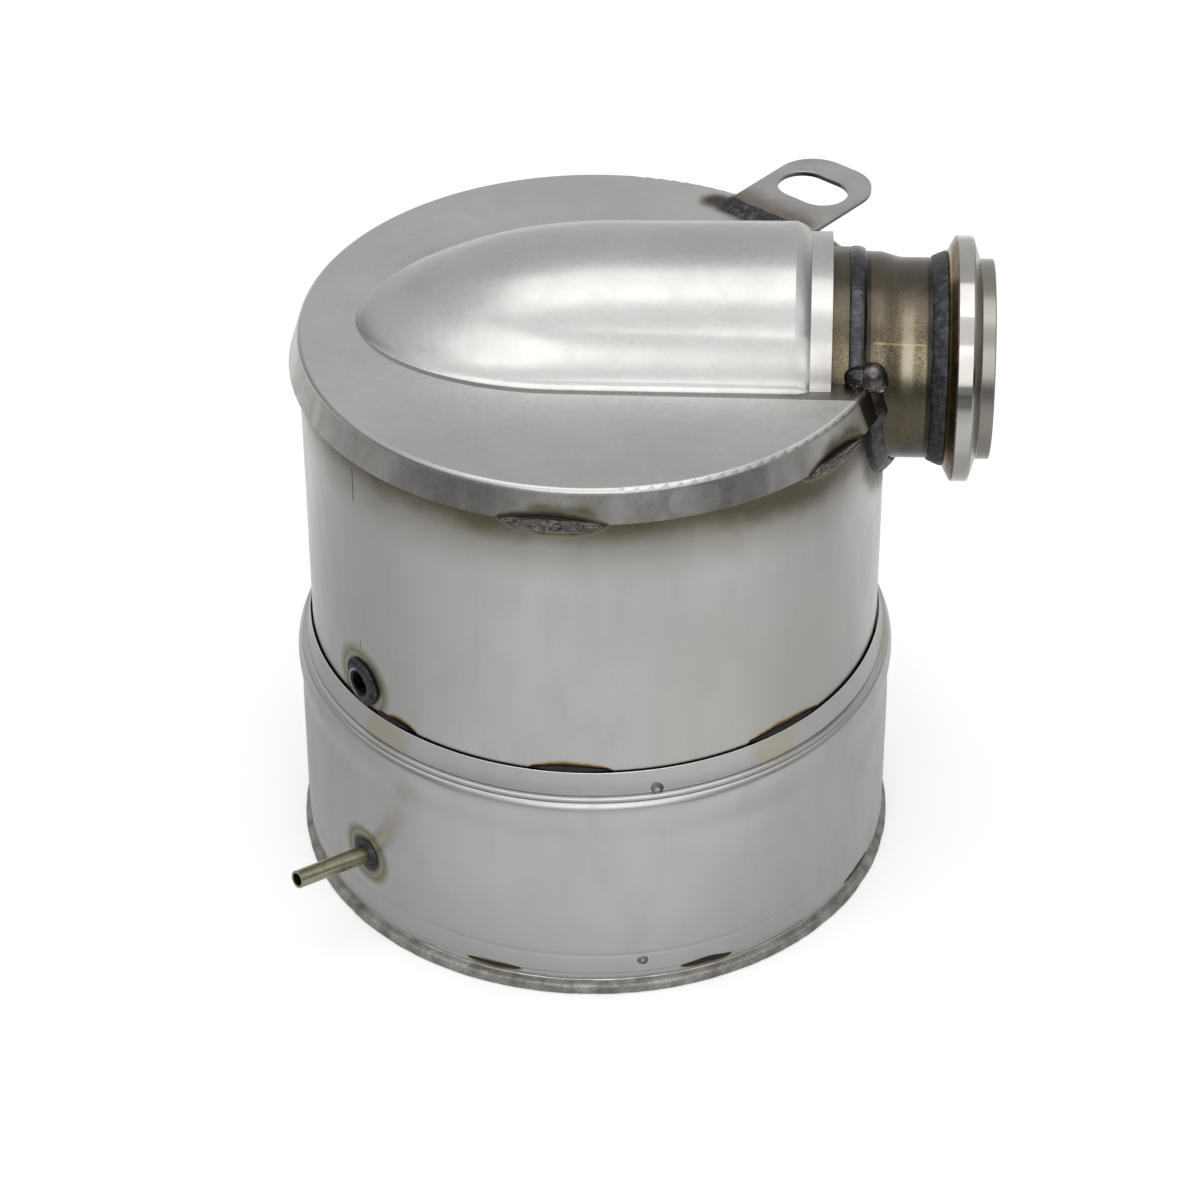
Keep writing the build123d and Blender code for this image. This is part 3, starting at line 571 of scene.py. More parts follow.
def flange_steel():
    """Turned flange: fine lines round it, a duller pilot, brown back with a painted golden highlight line at its
    edge by the weld.
    """
    g = Net("flange_steel")
    lines = g.noise(2.2, 3.0, (3.0, 0.05, 0.05))
    clouds = g.noise(0.03, 3.0)
    g.colour = g.mix(g.remap(clouds, 0.3, 0.7), (0.36, 0.348, 0.325), (0.43, 0.418, 0.395))
    g.paint(g.remap(g.x, 190.4, 191.6), (0.225, 0.213, 0.188))
    behind = g.remap(g.x, 183.6, 182.4)
    g.paint(behind, g.ramp(g.noise(0.12, 4.0), [(0.35, (0.11, 0.080, 0.050)), (0.65, (0.28, 0.205, 0.12))]))
    # Painted highlight: a thin golden line at the outer edge of the brown back.
    g.paint(g.band(g.x, 179.0, 179.5, 0.4), (0.50, 0.36, 0.17))
    duller = g.plus(g.remap(g.x, 190.0, 192.0, 0.0, 0.16), g.times(behind, 0.2))
    rough = g.plus(g.remap(lines, 0.3, 0.7, 0.07, 0.15), duller)
    return g.done(rough, g.bump(lines, 0.008))


def rough_steel():
    """Outlet ring: rough and stained, with bright sheet above its groove and a painted highlight line on the lip
    over the groove.
    """
    g = Net("rough_steel", 0.85)
    a = g.noise(0.12, 5.0)
    b = g.noise(0.9, 4.0)
    g.colour = g.ramp(a, [(0.3, (0.15, 0.145, 0.13)), (0.52, (0.27, 0.265, 0.243)), (0.72, (0.39, 0.38, 0.355))])
    g.paint(g.remap(b, 0.58, 0.7), (0.10, 0.085, 0.062), 0.6)
    sheet = g.remap(g.z, 6.5, 7.3)
    g.paint(sheet, (0.41, 0.41, 0.405))
    # Painted highlight: a near-white line on the curved lip just above the groove.
    g.paint(g.band(g.z, 7.0, 7.9, 0.4), (0.78, 0.78, 0.76))
    g.paint(g.remap(g.z, 12.0, 12.5), (0.14, 0.14, 0.135), 0.6)
    d = g.least(base_burn(g))
    g.paint(g.times(g.remap(d, 1.0, 0.7), sheet), g.ramp(d, SMEAR))
    rough = g.plus(g.remap(b, 0.3, 0.7, 0.42, 0.64), g.times(sheet, -0.16))
    return g.done(rough, g.bump(g.times(b, g.minus(1.05, sheet)), 0.25))


def plate_steel():
    """Lug plate, brown near its weld and dark on the cut edge."""
    g = Net("plate_steel")
    clouds = g.noise(0.05, 4.0)
    grain = g.noise(1.5, 3.0)
    g.colour = g.mix(g.remap(clouds, 0.3, 0.7), (0.33, 0.325, 0.315), (0.40, 0.395, 0.385))
    d = g.capsule(LUG_AZ, 139.0, LID_TOP + 2.0, 22.0, 16.0, wobble=0.5)
    g.paint(g.remap(d, 1.15, 0.1), (0.13, 0.105, 0.075), 0.85)
    g.paint(g.remap(g.z, LID_TOP + 2.4, LID_TOP + 1.6), (0.10, 0.095, 0.09))
    return g.done(g.remap(grain, 0.3, 0.7, 0.34, 0.46), g.bump(grain, 0.01))


def bung_steel():
    """Bung face under weld scale, with a painted silver glint on one side of its face; the thread is darkened with
    painted shade.
    """
    g = Net("bung_steel")
    grain = g.noise(0.9, 4.0)
    _, y, up = g.split(g.turned(polar(BUNG_AZ, SHELL_R, BUNG_Z), BUNG_AZ))
    away = g.length(0.0, y, up)
    # Painted reflection: a silver arc on one side of the bung's face, where the roughness is also lower.
    painted_glint = g.times(g.remap(g.wavy(y, 0.25, 4.0), 0.0, -4.0), g.remap(away, 8.9, 8.3))
    g.colour = g.mix(g.remap(grain, 0.35, 0.7), (0.04, 0.042, 0.048), (0.10, 0.102, 0.11))
    g.paint(painted_glint, (0.30, 0.295, 0.28))
    # Painted shade: the thread inside the hole is near black.
    g.paint(g.remap(away, 7.8, 7.0), (0.022, 0.021, 0.020))
    return g.done(g.remap(painted_glint, 0.0, 1.0, 0.5, 0.22), g.bump(grain, 0.12))


def coated_ceramic():
    """Brick face: fine square cells, with the walls a little lighter."""
    g = Net("coated_ceramic", 0.0)
    walls = []
    for axis in (g.x, g.y):
        cell = g.math("FRACT", g.times(axis, 0.55))
        walls.append(g.remap(g.math("ABSOLUTE", g.minus(cell, 0.5)), 0.30, 0.40))
    wall = g.math("MAXIMUM", walls[0], walls[1])
    g.colour = g.mix(wall, (0.05, 0.035, 0.02), (0.52, 0.42, 0.30))
    return g.done(0.85, g.bump(wall, 0.8))


def fibre(name, pale, deep):
    g = Net(name, 0.0)
    g.colour = g.mix(g.remap(g.noise(0.6, 5.0, (1.0, 1.0, 0.5)), 0.3, 0.7), deep, pale)
    return g.done(0.95, g.bump(g.noise(1.1, 4.0), 0.5))


WELD = weld_metal("weld_metal", low=(0.028, 0.029, 0.032), mid=(0.052, 0.053, 0.058),
                  high=(0.095, 0.095, 0.102), speck=(0.20, 0.185, 0.155), gloss=0.38)
RIDGE = weld_metal("weld_ridge", low=(0.09, 0.087, 0.083), mid=(0.16, 0.155, 0.148),
                   high=(0.26, 0.25, 0.24), speck=(0.34, 0.32, 0.29), gloss=0.34)
NECK = neck_metal()
STITCH = stitch_metal()
BURNT = burnt_metal()
TUBE = tube_steel()
SENSE = steel("sense_steel", base=(0.40, 0.375, 0.285), dark=(0.27, 0.245, 0.165), cloud=0.09,
              streak=(0.4, 0.4, 2.0), streak_scale=0.5, rough=(0.22, 0.34), streak_bump=0.002)
FLANGE = flange_steel()
BUNG = bung_steel()
ROUGH = rough_steel()
PLATE = plate_steel()
BRICK = coated_ceramic()
MAT = fibre("mat_fibre", (0.70, 0.66, 0.58), (0.52, 0.48, 0.41))
BLANKET = fibre("blanket_fibre", (0.74, 0.72, 0.68), (0.60, 0.58, 0.53))

NODE_MATERIAL = {
    "inlet_head": HEAD, "inlet_tube": TUBE, "inlet_socket": TUBE, "neck_weld": NECK, "inlet_flange": FLANGE,
    "flange_weld": WELD, "body_shell": SHELL, "outer_jacket": JACKET, "plug_welds": WELD, "outlet_flange": ROUGH,
    "insulation_blanket": BLANKET, "catalyst_substrate": BRICK, "support_mat": MAT, "upper_retaining_ring": TUBE,
    "lower_retaining_ring": TUBE, "sensor_bung": BUNG, "bung_weld": WELD, "sense_tube": SENSE,
    "sense_tube_weld": WELD, "lifting_lug": PLATE, "lug_weld": WELD, "skirt_welds": STITCH, "collar_welds": BURNT,
    "base_welds": BURNT,
}
for node, shown in frame["nodes"].items():
    shown.data.materials.clear()
    shown.data.materials.append(NODE_MATERIAL[node])


# ---- mesh pieces ----
def wave(p, scale, seed):
    return noise.noise(Vector((p[0] * scale + seed, p[1] * scale - seed, p[2] * scale + 0.37 * seed)))


def soften(points, rounds):
    """Cuts the corners of an open outline, ends kept."""
    for _ in range(rounds):
        out = [points[0]]
        for a, b in zip(points, points[1:]):
            out += [tuple((1.0 - k) * p + k * q for p, q in zip(a, b)) for k in (0.25, 0.75)]
        points = out + [points[-1]]
    return points


class Form:
    """Points in mm and faces of one piece."""

    def __init__(self):
        self.points, self.faces = [], []

    def add(self, points, faces):
        base = len(self.points)
        self.points += points
        self.faces += [tuple(base + i for i in f) for f in faces]

    def lathe(self, profile, count, place):
        """Closed profile of (radius, along) turned once; place(radius, angle, along) gives a point."""
        n = len(profile)
        points = [place(r, 2.0 * pi * s / count, h) for s in range(count) for r, h in profile]
        faces = []
        for s in range(count):
            t = (s + 1) % count
            faces += [(s * n + i, t * n + i, t * n + (i + 1) % n, s * n + (i + 1) % n) for i in range(n)]
        self.add(points, faces)

    def sweep(self, line, ups, half, tall, sink, ripple, pitch, rough, ring, seed, ends=0.0, closed=False):
        """Weld bead along a line: domed section with crescent ripples, lumps and rounded ends.

        half width, height and sink below the line; height and pitch of the ripples, size of the lumps;
        length of the rounded ends, and the number of points round the section."""
        n = len(line)
        run = [0.0]
        for a, b in zip(line, line[1:]):
            run.append(run[-1] + (b - a).length)
        points = []
        for i, (p, up) in enumerate(zip(line, ups)):
            after = line[(i + 1) % n] if closed else line[min(i + 1, n - 1)]
            before = line[i - 1] if closed else line[max(i - 1, 0)]
            side = (after - before).normalized().cross(up).normalized()
            near = min(run[i], run[-1] - run[i]) / ends if ends else 1.0
            e = max(0.03, sqrt(max(0.0, 1.0 - (1.0 - min(1.0, near)) ** 2)))
            share = i / (n - 1)
            w = (half(share) if callable(half) else half) * e * (1.0 + 0.5 * rough * wave(p, 0.16, seed + 5.0))
            t = (tall(share) if callable(tall) else tall) * e
            for k in range(ring):
                f = 2.0 * pi * k / ring
                c, s = cos(f), sin(f)
                q = p + side * (c * w)
                if s > 0:
                    crest = sqrt(s)
                    phase = (run[i] / pitch + 0.9 * c * c + 0.35 * wave(q, 0.3, seed)) * 2.0 * pi
                    lift = t * s + crest * e * (ripple * cos(phase) + rough * (
                        wave(q, 0.22, seed) + 0.45 * wave(q, 0.75, seed)))
                    q = q + up * lift
                else:
                    q = q + up * (s * sink * e)
                points.append(q)
        faces = []
        for i in range(n if closed else n - 1):
            j = (i + 1) % n
            faces += [(i * ring + k, j * ring + k, j * ring + (k + 1) % ring, i * ring + (k + 1) % ring)
                      for k in range(ring)]
        if not closed:
            faces += [tuple(range(ring)), tuple((n - 1) * ring + k for k in range(ring))]
        self.add(points, faces)

    def lump(self, centre, radii, rough, seed):
        """Rounded blob of metal with an uneven skin."""
        bm = bmesh.new()
        bmesh.ops.create_icosphere(bm, subdivisions=4, radius=1.0)
        points = []
        for v in bm.verts:
            d = v.co.normalized()
            k = 1.0 + rough * (wave(d, 1.4, seed) + 0.45 * wave(d, 3.6, seed) + 0.2 * wave(d, 8.0, seed))
            points.append(Vector(centre) + Vector((d.x * radii[0], d.y * radii[1], d.z * radii[2])) * k)
        self.add(points, [tuple(v.index for v in f.verts) for f in bm.faces])
        bm.free()

    def piece(self, name, material, slot, nodes, sharp):
        mesh = bpy.data.meshes.new(name)
        mesh.from_pydata([tuple(MM * c for c in p) for p in self.points], [], self.faces)
        bm = bmesh.new()
        bm.from_mesh(mesh)
        bmesh.ops.remove_doubles(bm, verts=bm.verts, dist=1e-6)
        bmesh.ops.recalc_face_normals(bm, faces=bm.faces)
        bm.to_mesh(mesh)
        bm.free()
        dress(mesh, name, material, nodes, sharp)


def dress(mesh, name, material, nodes, sharp):
    """Turns a mesh into a finished piece in the place of the nodes; sharp is an angle in degrees."""
    mesh.shade_smooth()
    mesh.set_sharp_from_angle(angle=radians(sharp))
    obj = placed(name, mesh)
    mesh.materials.append(material)
    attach(obj, "root")
    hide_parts(*nodes)


def arc_line(azimuth, arc, radius, z, tilt):
    """Points round the body and their outward directions; tilt leans them down (minus) or up."""
    n = max(8, int(radians(arc) * radius / BEAD_STEP))
    azimuths = [azimuth - arc / 2 + arc * i / n for i in range(n + 1)]
    return [polar(az, radius, z) for az in azimuths], [leaning(polar(az, 1.0, 0.0), tilt) for az in azimuths]


def round_body(r, a, h):
    return Vector((r * cos(a), r * sin(a), h))


def round_inlet(r, a, h):
    return Vector((h, INLET_Y + r * cos(a), INLET_Z + r * sin(a)))


def on_wall(azimuth, z):
    """Place function for a small turned form that stands out of the wall."""
    out, along = wall_axes(azimuth)

    def place(r, a, h):
        return out * h + along * (r * cos(a)) + Vector((0, 0, z + r * sin(a)))
    return place


def jacket():
    """Heat jacket: wall, broad shoulder, groove, narrow bead and the tapered collar."""
    low = [(157.2, 13.0), (157.2, 21.0), (157.2, 23.4), (156.8, 24.3), (157.35, 26.2), (157.4, 29.0),
           (157.4, 60.0), (157.4, 86.0), (157.2, 93.0), (156.7, 100.5), (157.4, 106.0), (158.1, 110.5),
           (158.55, 115.0), (158.55, 118.5), (158.1, 121.5), (157.4, 123.4), (156.4, 124.7), (155.3, 125.15)]
    bead = [(155.25, 125.3), (155.9, 125.7), (156.15, 126.5), (155.9, 127.3), (155.2, 127.75), (153.55, 128.05)]
    collar = [(153.5, 128.3), (153.95, 128.75), (153.55, 129.8), (153.2, 131.2), (152.5, 134.0), (151.95, 137.5),
              (151.62, 140.2), (151.58, 140.75), (151.4, 141.0), (151.1, 141.0), (150.9, 140.8)]
    outer = soften(low, 2) + soften(bead, 1) + soften(collar, 1)
    inner = [(150.95, 138.0), (151.6, 133.0), (152.3, 129.0), (155.0, 124.0), (157.2, 117.0), (156.2, 104.0),
             (156.0, 85.0), (156.0, 13.0)]
    form = Form()

    def place(r, a, h):
        p = round_body(r, a, h)
        calm = 0.35 if h > 122.0 else 1.0
        r += calm * (0.16 * wave(p, 0.018, 3.0) + 0.07 * wave(p, 0.05, 8.0))
        h += 0.25 * wave(p, 0.02, 5.0) if 20.0 < h < 138.0 else 0.0
        return round_body(r, a, h)
    form.lathe(outer + inner, 300, place)
    form.piece("heat_jacket", JACKET, "jacket_steel", ["outer_jacket"], 32.0)


def outlet_flange():
    """Rough outlet ring with a groove, and the neck that stands in the jacket."""
    outer = [(146.0, 0.0), (152.0, 0.0), (158.8, 0.0), (159.5, 0.3), (159.8, 1.0), (159.85, 3.0), (159.7, 4.9),
             (159.1, 5.7), (157.6, 6.1), (155.9, 6.5), (155.5, 6.9), (155.7, 7.5), (156.5, 8.1), (156.9, 9.2),
             (156.9, 12.85)]
    inner = [(155.8, 12.9), (155.8, 23.0), (150.2, 23.0), (150.2, 3.2), (146.0, 3.2)]
    form = Form()

    def place(r, a, h):
        p = round_body(r, a, h)
        if r > 155.0 and 0.05 < h < 12.9:
            r += min(0.0, 0.45 * wave(p, 0.09, 2.0) + 0.25 * wave(p, 0.35, 4.0) - 0.05)
            h += 0.25 * wave(p, 0.12, 6.0) if h < 12.0 else 0.0
        return round_body(min(r, 159.8), a, max(h, 0.0))
    form.lathe(soften(outer, 1) + inner, 360, place)
    form.piece("outlet_ring", ROUGH, "rough_steel", ["outlet_flange"], 40.0)


def flange_weld():
    """Bead between tube and flange, with an uneven foot on the tube."""
    foot_r, rise = 50.9, 3.7
    outer = [(foot_r, 170.3), (51.35, 170.5), (51.9, 171.1), (52.4, 172.0), (53.0, 173.4), (53.7, 175.0),
             (54.3, 176.6), (54.6, 177.7), (54.4, 178.1)]
    form = Form()

    def place(r, a, h):
        p = round_inlet(r, a, h)
        grow = (r - foot_r) / rise
        r += grow * (0.22 * wave(p, 0.12, 1.0) + 0.13 * wave(p, 0.5, 2.0) + 0.05 * wave(p, 1.4, 3.0))
        if h < 172.5:
            h += 0.45 * wave(p, 0.16, 7.0) + 0.2 * wave(p, 0.6, 9.0)
        return round_inlet(r, a, h)
    form.lathe(soften(outer, 1) + [(foot_r, 178.1)], 360, place)
    form.piece("flange_weld_bead", WELD, "weld_metal", ["flange_weld"], 60.0)


def neck_weld():
    """Smooth rope over the tube, a ball on each side at the lid, and a saddle bead under it."""
    form = Form()
    centre = Vector((0.0, INLET_Y, INLET_Z))

    def round_tube(n, first, span):
        turns = [radians(first + span * i / n) for i in range(n + 1)]
        return [Vector((0.0, cos(a), sin(a))) for a in turns]

    def foot(s):
        return max(0.0, 1.0 - min(s, 1.0 - s) / 0.11)

    ups = round_tube(330, 166.0, -152.0)
    line = [centre + Vector((WELD_X + 0.35 * wave(up, 2.2, 4.0), 0.0, 0.0)) + up * ROPE_R for up in ups]
    form.sweep(line, ups, lambda s: 4.7 + 2.2 * foot(s) ** 2, lambda s: 1.9 + 1.6 * foot(s), sink=1.5, ripple=0.03,
               pitch=3.2, rough=0.12, ends=3.0, ring=26, seed=1.0)

    n = 560
    line, ups, wide = [], [], []
    for out in round_tube(n, 158.0, 224.0):
        p = centre + out * SWAGE_R
        low = 1.0 if p.z < SKIRT_Z - 1.5 else max(0.0, 1.0 - (p.z - SKIRT_Z + 1.5) / 3.5)
        p.x = sqrt((SHELL_R + (skirt_r(max(p.z, SKIRT_Z)) - SHELL_R) * (1.0 - low)) ** 2 - p.y**2)
        face = Vector((p.x, p.y, 0.0)).normalized()
        way = (out + face).normalized()
        line.append(p + way * (2.0 + 1.3 * low))
        ups.append(way)
        wide.append(3.7 + 1.9 * low)
    form.sweep(line, ups, lambda s: wide[round(s * n)], 0.9, sink=3.6, ripple=0.03, pitch=2.8, rough=0.34, ends=5.0,
               ring=22, seed=11.0)
    for way, seed in ((-1.0, 21.0), (1.0, 33.0)):
        y = INLET_Y + way * BALL_Y
        form.lump((140.9, y, 316.2), (7.6, 7.0, 8.0), 0.07, seed)
        form.lump((143.6, y - way * 0.6, 312.6), (5.6, 5.4, 5.0), 0.10, seed + 2.0)
        form.lump((134.0, y + way * 0.4, 316.0), (7.2, 5.2, 6.4), 0.10, seed + 6.0)
    form.piece("neck_bead", NECK, "weld_metal", ["neck_weld"], 70.0)


def skirt_stitches():
    """Low welds under the skirt, pointed at both ends, with two wrinkled ridges and a crack between them."""
    form = Form()
    for number, (az, arc) in enumerate(SKIRT_STITCHES):
        seed = 3.0 + 7.0 * number
        line, ups = arc_line(az, arc + 1.4, 154.7, 294.5, -0.3)
        form.sweep(line, ups, lambda s: 0.12 + 6.2 * swell(s, 0.8), lambda s: 0.2 + 0.9 * swell(s), sink=2.6,
                   ripple=0.03, pitch=3.0, rough=0.14, ring=26, seed=seed)
        for offset, first, last in ((1.2, 0.05, 0.60), (-1.1, 0.56, 0.965), (-1.4, 0.22, 0.52)):
            inside, lifts = [], []
            for i, (p, up) in enumerate(zip(line, ups)):
                s = i / (len(line) - 1)
                if first <= s <= last:
                    lean = (Vector((0, 0, 1.0)) - up * up.z).normalized()
                    shift = offset * swell(s) + 0.9 * wave((s * 9.0, offset, seed), 1.0, seed)
                    inside.append(p + lean * shift + up * (0.15 + 0.7 * swell(s)))
                    lifts.append(up)
            form.sweep(inside, lifts, lambda s: 0.2 + 2.2 * swell(s, 0.7), 1.0, sink=0.6, ripple=0.14, pitch=1.9,
                       rough=0.36, ring=14, seed=seed + offset)
    form.piece("skirt_stitch_beads", STITCH, "weld_metal", ["skirt_welds"], 70.0)


def thin_stitches():
    """Thin burnt stitches with pointed ends, in the collar's gap and in the crease at the foot."""
    collar, base = Form(), Form()
    for number, (az, arc) in enumerate(COLLAR_STITCHES):
        skew = 1.0
        if number == 2:    # the short one beside the bung is widest near its end
            az, arc, skew = az - 1.7, 8.5, 0.5
        line, ups = arc_line(az, arc, 150.45, 142.3, 0.35)
        collar.sweep(line, ups, lambda s: 0.1 + 1.4 * swell(s**skew, 0.8), 0.35, sink=0.6, ripple=0.04, pitch=2.0,
                     rough=0.2, ring=12, seed=2.0 + number)
    for number, (az, arc) in enumerate(BASE_STITCHES):
        line, ups = arc_line(az, arc, 157.0, 12.2, -0.3)
        wide = 1.9 if number == 1 else 0.8
        base.sweep(line, ups, lambda s: 0.1 + wide * swell(s, 0.8), 0.3, sink=0.5, ripple=0.05, pitch=2.0,
                   rough=0.25, ring=12, seed=4.0 + number)
    collar.piece("collar_stitches", BURNT, "weld_metal", ["collar_welds"], 70.0)
    base.piece("base_stitches", BURNT, "weld_metal", ["base_welds"], 70.0)


def plug_welds():
    """Small plug welds, each a ring round a shallow crater."""
    form = Form()
    for turn in (0.0, 120.0, 240.0):
        for az, z, r, scale in ((-75.4 + turn, 129.9, 153.45, 1.0), (-78.3 + turn, 20.1, 157.2, 0.85)):
            profile = [(0.0, -0.35), (0.7, -0.25), (1.25, 0.1), (1.8, 0.42), (2.4, 0.5), (3.0, 0.25), (3.4, -0.05),
                       (3.5, -0.9), (0.0, -0.9)]
            place = on_wall(az, z)
            form.lathe([(q * scale, r + h) for q, h in profile], 40,
                       lambda q, a, h: place(q * (1.0 + 0.03 * cos(3.0 * a + az)), a,
                                             h + 0.12 * wave((q * cos(a), q * sin(a), az), 0.5, az)))
    form.piece("plug_weld_rings", RIDGE, "weld_metal", ["plug_welds"], 60.0)


def sensor_port():
    """Bung with a real thread profile, and the rough ring of weld round it."""
    top = 152.7
    profile = [(10.4, 145.6), (10.4, 151.6), (10.1, 152.3), (9.5, top), (7.6, top), (7.1, 152.3)]
    h = 152.0
    while h > 146.6:
        profile += [(6.95, h), (6.25, h - 0.5), (6.2, h - 0.75), (6.9, h - 1.25)]
        h -= 1.5
    bung = Form()
    bung.lathe(profile + [(6.6, 145.6)], 96, on_wall(BUNG_AZ, BUNG_Z))
    bung.piece("sensor_port", BUNG, "flange_steel", ["sensor_bung"], 40.0)

    def climb(a):
        return 0.5 + 0.5 * cos(a - 0.35)

    line, ups = [], []
    out, side = wall_axes(BUNG_AZ)
    for i in range(200):
        a = 2.0 * pi * i / 200
        rho = 10.9 + 0.6 * wave((cos(a), sin(a), 0.0), 1.2, 5.0)
        along, up = rho * cos(a), rho * sin(a)
        p = out * (sqrt(SHELL_R**2 - along**2) + 0.2 + 1.7 * climb(a)) + side * along
        p.z = max(BUNG_Z + up, COLLAR_TOP + 1.9)
        line.append(p)
        ups.append(Vector((p.x, p.y, 0.0)).normalized())
    weld = Form()
    weld.sweep(line, ups, lambda s: 2.1 + 0.7 * climb(2.0 * pi * s), 0.9, sink=2.6, ripple=0.2, pitch=2.2,
               rough=0.55, ring=20, seed=9.0, closed=True)
    weld.piece("sensor_port_weld", WELD, "weld_metal", ["bung_weld"], 70.0)


def sense_root():
    """Dark ring of weld at the root of the sense tube, on the jacket's wall."""
    out, along = wall_axes(SENSE_AZ)
    axis = leaning(out, radians(8.0))
    upright = axis.cross(along)
    start = polar(SENSE_AZ, JACKET_R, SENSE_Z)
    ring_r, wall_r, n = 5.9, 157.7, 140
    line, ups = [], []
    for i in range(n):
        a = 2.0 * pi * i / n
        spread = along * cos(a) + upright * sin(a)
        p = start + spread * ring_r
        flat = Vector((p.x, p.y, 0.0))
        p += axis * ((wall_r - flat.length) / flat.normalized().dot(axis))
        line.append(p)
        ups.append((flat.normalized() + 0.55 * spread).normalized())
    form = Form()
    form.sweep(line, ups, 3.0, 1.6, sink=1.4, ripple=0.1, pitch=2.4, rough=0.4, ring=18, seed=13.0, closed=True)
    form.piece("sense_root_weld", WELD, "weld_metal", ["sense_tube_weld"], 70.0)


def lifting_lug():
    """Plate cut to its outline with a long hole, edges eased, and the weld along its inner end."""
    def bend(cu, cv, r, first, last, count=14):
        turns = [radians(first + (last - first) * i / count) for i in range(count + 1)]
        return [(cu + r * cos(a), cv + r * sin(a)) for a in turns]
    near, far, half, corner, mid = 138.4, 203.1, 27.3, 21.2, -5.0
    hole_u, hole_r, hole_run, bead_u = 173.3, 13.7, 6.4, 135.9
    outline = [(near, mid - half)] + bend(far - corner, mid - half + corner, corner, -90, 0) + \
        bend(far - corner, mid + half - corner, corner, 0, 90) + [(near, mid + half)]
    hole = bend(hole_u, mid + hole_run, hole_r, 0, 180, 26) + bend(hole_u, mid - hole_run, hole_r, 180, 360, 26)
    curve = bpy.data.curves.new("lug_outline", "CURVE")
    curve.dimensions = "2D"
    curve.fill_mode = "BOTH"
    thick, eased = 3.0, 0.45
    curve.extrude = (thick / 2 - eased) * MM
    curve.bevel_depth = eased * MM
    curve.bevel_resolution = 3
    curve.offset = -eased * MM
    for loop in (outline, hole):
        spline = curve.splines.new("POLY")
        spline.points.add(len(loop) - 1)
        for point, (u, v) in zip(spline.points, loop):
            point.co = (u * MM, v * MM, 0.0, 1.0)
        spline.use_cyclic_u = True
    holder = bpy.data.objects.new("lug_outline", curve)
    mesh = bpy.data.meshes.new_from_object(holder)
    bpy.data.objects.remove(holder)
    turn = Matrix.Rotation(radians(LUG_AZ), 4, "Z")
    mesh.transform(Matrix.Translation(Vector((0, 0, (LID_TOP + thick / 2) * MM))) @ turn)
    dress(mesh, "lug_plate", PLATE, ["lifting_lug"], 35.0)

    form = Form()
    out, along = wall_axes(LUG_AZ)
    up = leaning(out, pi / 2 + 0.45)
    n = 150

    def at(u, v, z):
        return out * u + along * v + Vector((0, 0, z))

    def bank(u, v0, v1, z, seed):
        return [at(u + 0.6 * wave((i * 0.05, 0, 0), 1.0, seed), v0 + (v1 - v0) * i / n, z) for i in range(n + 1)]
    form.sweep(bank(bead_u, -34.0, 25.0, LID_TOP, 2.0), [up] * (n + 1), 4.6, 2.7, sink=1.0, ripple=0.06, pitch=2.8,
               rough=0.34, ends=6.0, ring=22, seed=4.0)
    form.sweep(bank(131.0, -33.0, 24.0, LID_TOP - 0.2, 8.0), [up] * (n + 1), 3.2, 1.2, sink=0.8, ripple=0.05,
               pitch=2.6, rough=0.3, ends=6.0, ring=16, seed=6.0)
    for way in (-1.0, 1.0):
        line = [at(bead_u + 7.5 * i / 30, mid + way * 28.2, LID_TOP + 0.2) for i in range(31)]
        lean = (along * way * 0.6 + Vector((0, 0, 0.8))).normalized()
        form.sweep(line, [lean] * 31, 2.6, 1.7, sink=0.9, ripple=0.06, pitch=2.4, rough=0.3, ends=3.5, ring=16,
                   seed=9.0 + way)
    form.piece("lug_bead", WELD, "weld_metal", ["lug_weld"], 70.0)


jacket()
outlet_flange()
flange_weld()
neck_weld()
skirt_stitches()
thin_stitches()
plug_welds()
sensor_port()
sense_root()
lifting_lug()


# ---- light, floor, camera ----
def camera():
    data = bpy.data.cameras.new("camera")
    data.sensor_width = 36.0
    data.lens = LENS
    data.clip_start = 0.05
    data.clip_end = 60.0
    cam = placed("camera", data)
    right, up = Vector(CAMERA_RIGHT), Vector(CAMERA_UP)
    turn = Matrix((right, up, right.cross(up))).transposed()
    cam.matrix_world = Matrix.Translation(Vector(CAMERA_PLACE)) @ turn.to_4x4()
    scene.camera = cam


def world(level):
    """White to the camera; metal sees a studio that is dimmer at the sides and low in front."""
    w = bpy.data.worlds.new("studio")
    scene.world = w
    w.use_nodes = True
    t = Tree(w.node_tree)
    back = t.tree.nodes["Background"]
    back.inputs["Color"].default_value = (1.0, 1.0, 1.0, 1.0)
    x, y, z = t.split(t.place_of("Generated"))
    flat = t.math("SQRT", t.plus(t.times(x, x), t.times(y, y)))
    aside = t.math("DIVIDE", t.math("ABSOLUTE", x), flat)
    sides = t.times(t.remap(aside, 0.45, 0.95), t.remap(z, 0.72, 0.4))
    low = t.times(t.remap(y, 0.1, -0.5), t.remap(z, 0.24, 0.1))
    rear = t.times(t.remap(y, 0.1, 0.5), t.remap(z, 0.95, 0.75))
    front = t.times(t.remap(y, 0.0, -0.2), t.remap(z, 0.5, 0.66))
    seen = t.plus(t.minus(0.92, t.times(sides, 0.45)), t.times(front, 0.58))
    seen = t.minus(seen, t.plus(t.times(low, 0.5), t.times(rear, 0.06)))
    to_camera, mirror = t.rays()
    other = t.minus(1.0, t.math("ADD", to_camera, mirror, True))
    strength = t.plus(to_camera, t.times(mirror, seen))
    t.put(back.inputs["Strength"], t.plus(strength, t.times(other, level)))


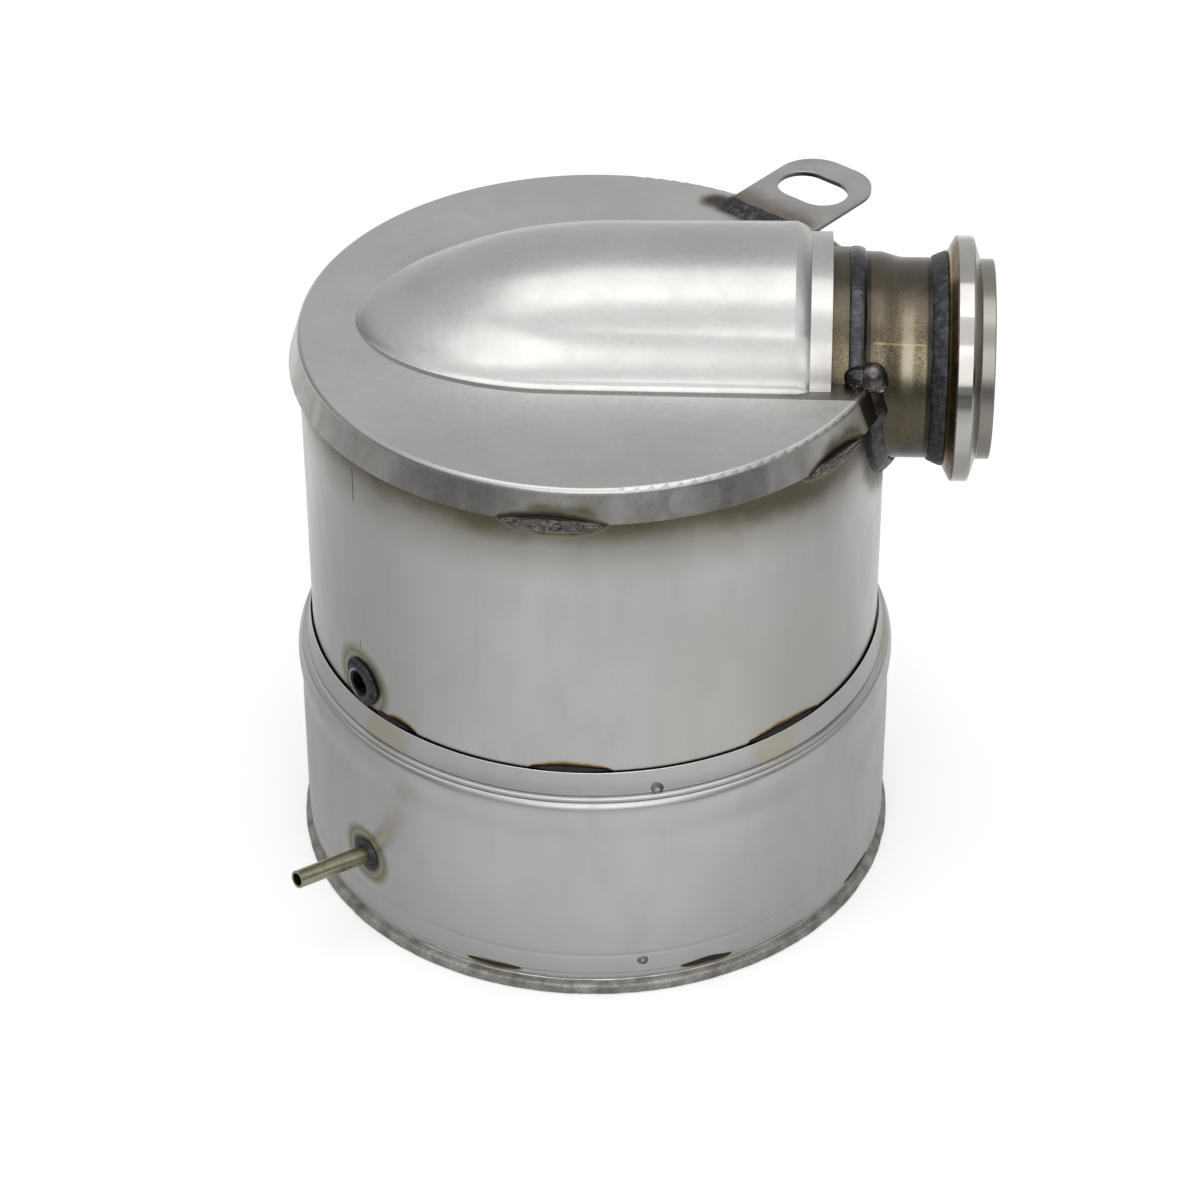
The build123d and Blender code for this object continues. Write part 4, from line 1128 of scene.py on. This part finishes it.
def softbox(name, place, aim, size, radiance):
    data = bpy.data.lights.new(name, "AREA")
    data.shape = "RECTANGLE"
    data.size, data.size_y = size
    data.energy = radiance * pi * size[0] * size[1]
    obj = placed(name, data)
    obj.location = place
    obj.rotation_euler = (Vector(aim) - Vector(place)).to_track_quat("-Z", "Y").to_euler()
    obj.visible_camera = False


def floor(half=12.0):
    """Matt white floor; in the metal it glows in front and behind, and less beside the part."""
    me = bpy.data.meshes.new("floor")
    me.from_pydata([(-half, -half, 0), (half, -half, 0), (half, half, 0), (-half, half, 0)], [], [(0, 1, 2, 3)])
    obj = placed("floor", me)
    mat = bpy.data.materials.new("floor_white")
    mat.use_nodes = True
    t = Tree(mat.node_tree)
    bsdf = t.tree.nodes["Principled BSDF"]
    bsdf.inputs["Roughness"].default_value = 1.0
    bsdf.inputs["Specular IOR Level"].default_value = 0.0
    to_camera, mirror = t.rays()
    x, y, _ = t.split(t.place_of("Object"))
    far = t.times(t.remap(y, -0.8, -1.4), mirror)
    t.put(bsdf.inputs["Base Color"], t.minus(0.8, t.times(far, 0.5)))
    beside = t.times(t.remap(x, -0.12, -0.3), t.remap(t.math("ABSOLUTE", y), 0.32, 0.1))
    before = t.times(t.remap(y, -0.14, -0.22), t.remap(x, -0.34, -0.16))
    before = t.times(t.remap(y, -0.7, -0.5), before)
    glowing = t.plus(t.plus(0.15, t.times(before, 0.2)), t.times(t.remap(y, 0.02, 0.35), 0.3))
    glowing = t.times(t.minus(glowing, t.times(beside, 0.17)), t.remap(y, -1.4, -0.8))
    glow = t.node("Emission")
    t.put(glow.inputs["Strength"], t.plus(t.times(to_camera, 0.42), t.times(mirror, glowing)))
    add = t.node("AddShader")
    t.put(add.inputs[0], bsdf.outputs[0])
    t.put(add.inputs[1], glow.outputs[0])
    t.put(t.tree.nodes["Material Output"].inputs["Surface"], add.outputs[0])
    me.materials.append(mat)


camera()
world(level=0.58)
floor()
softbox("top", place=(0.05, -0.08, 3.2), aim=(0.05, -0.08, 0.0), size=(2.8, 1.8), radiance=1.57)
softbox("front", place=(0.2, -2.97, 1.72), aim=(0.0, 0.0, 0.3), size=(2.8, 2.2), radiance=1.4)
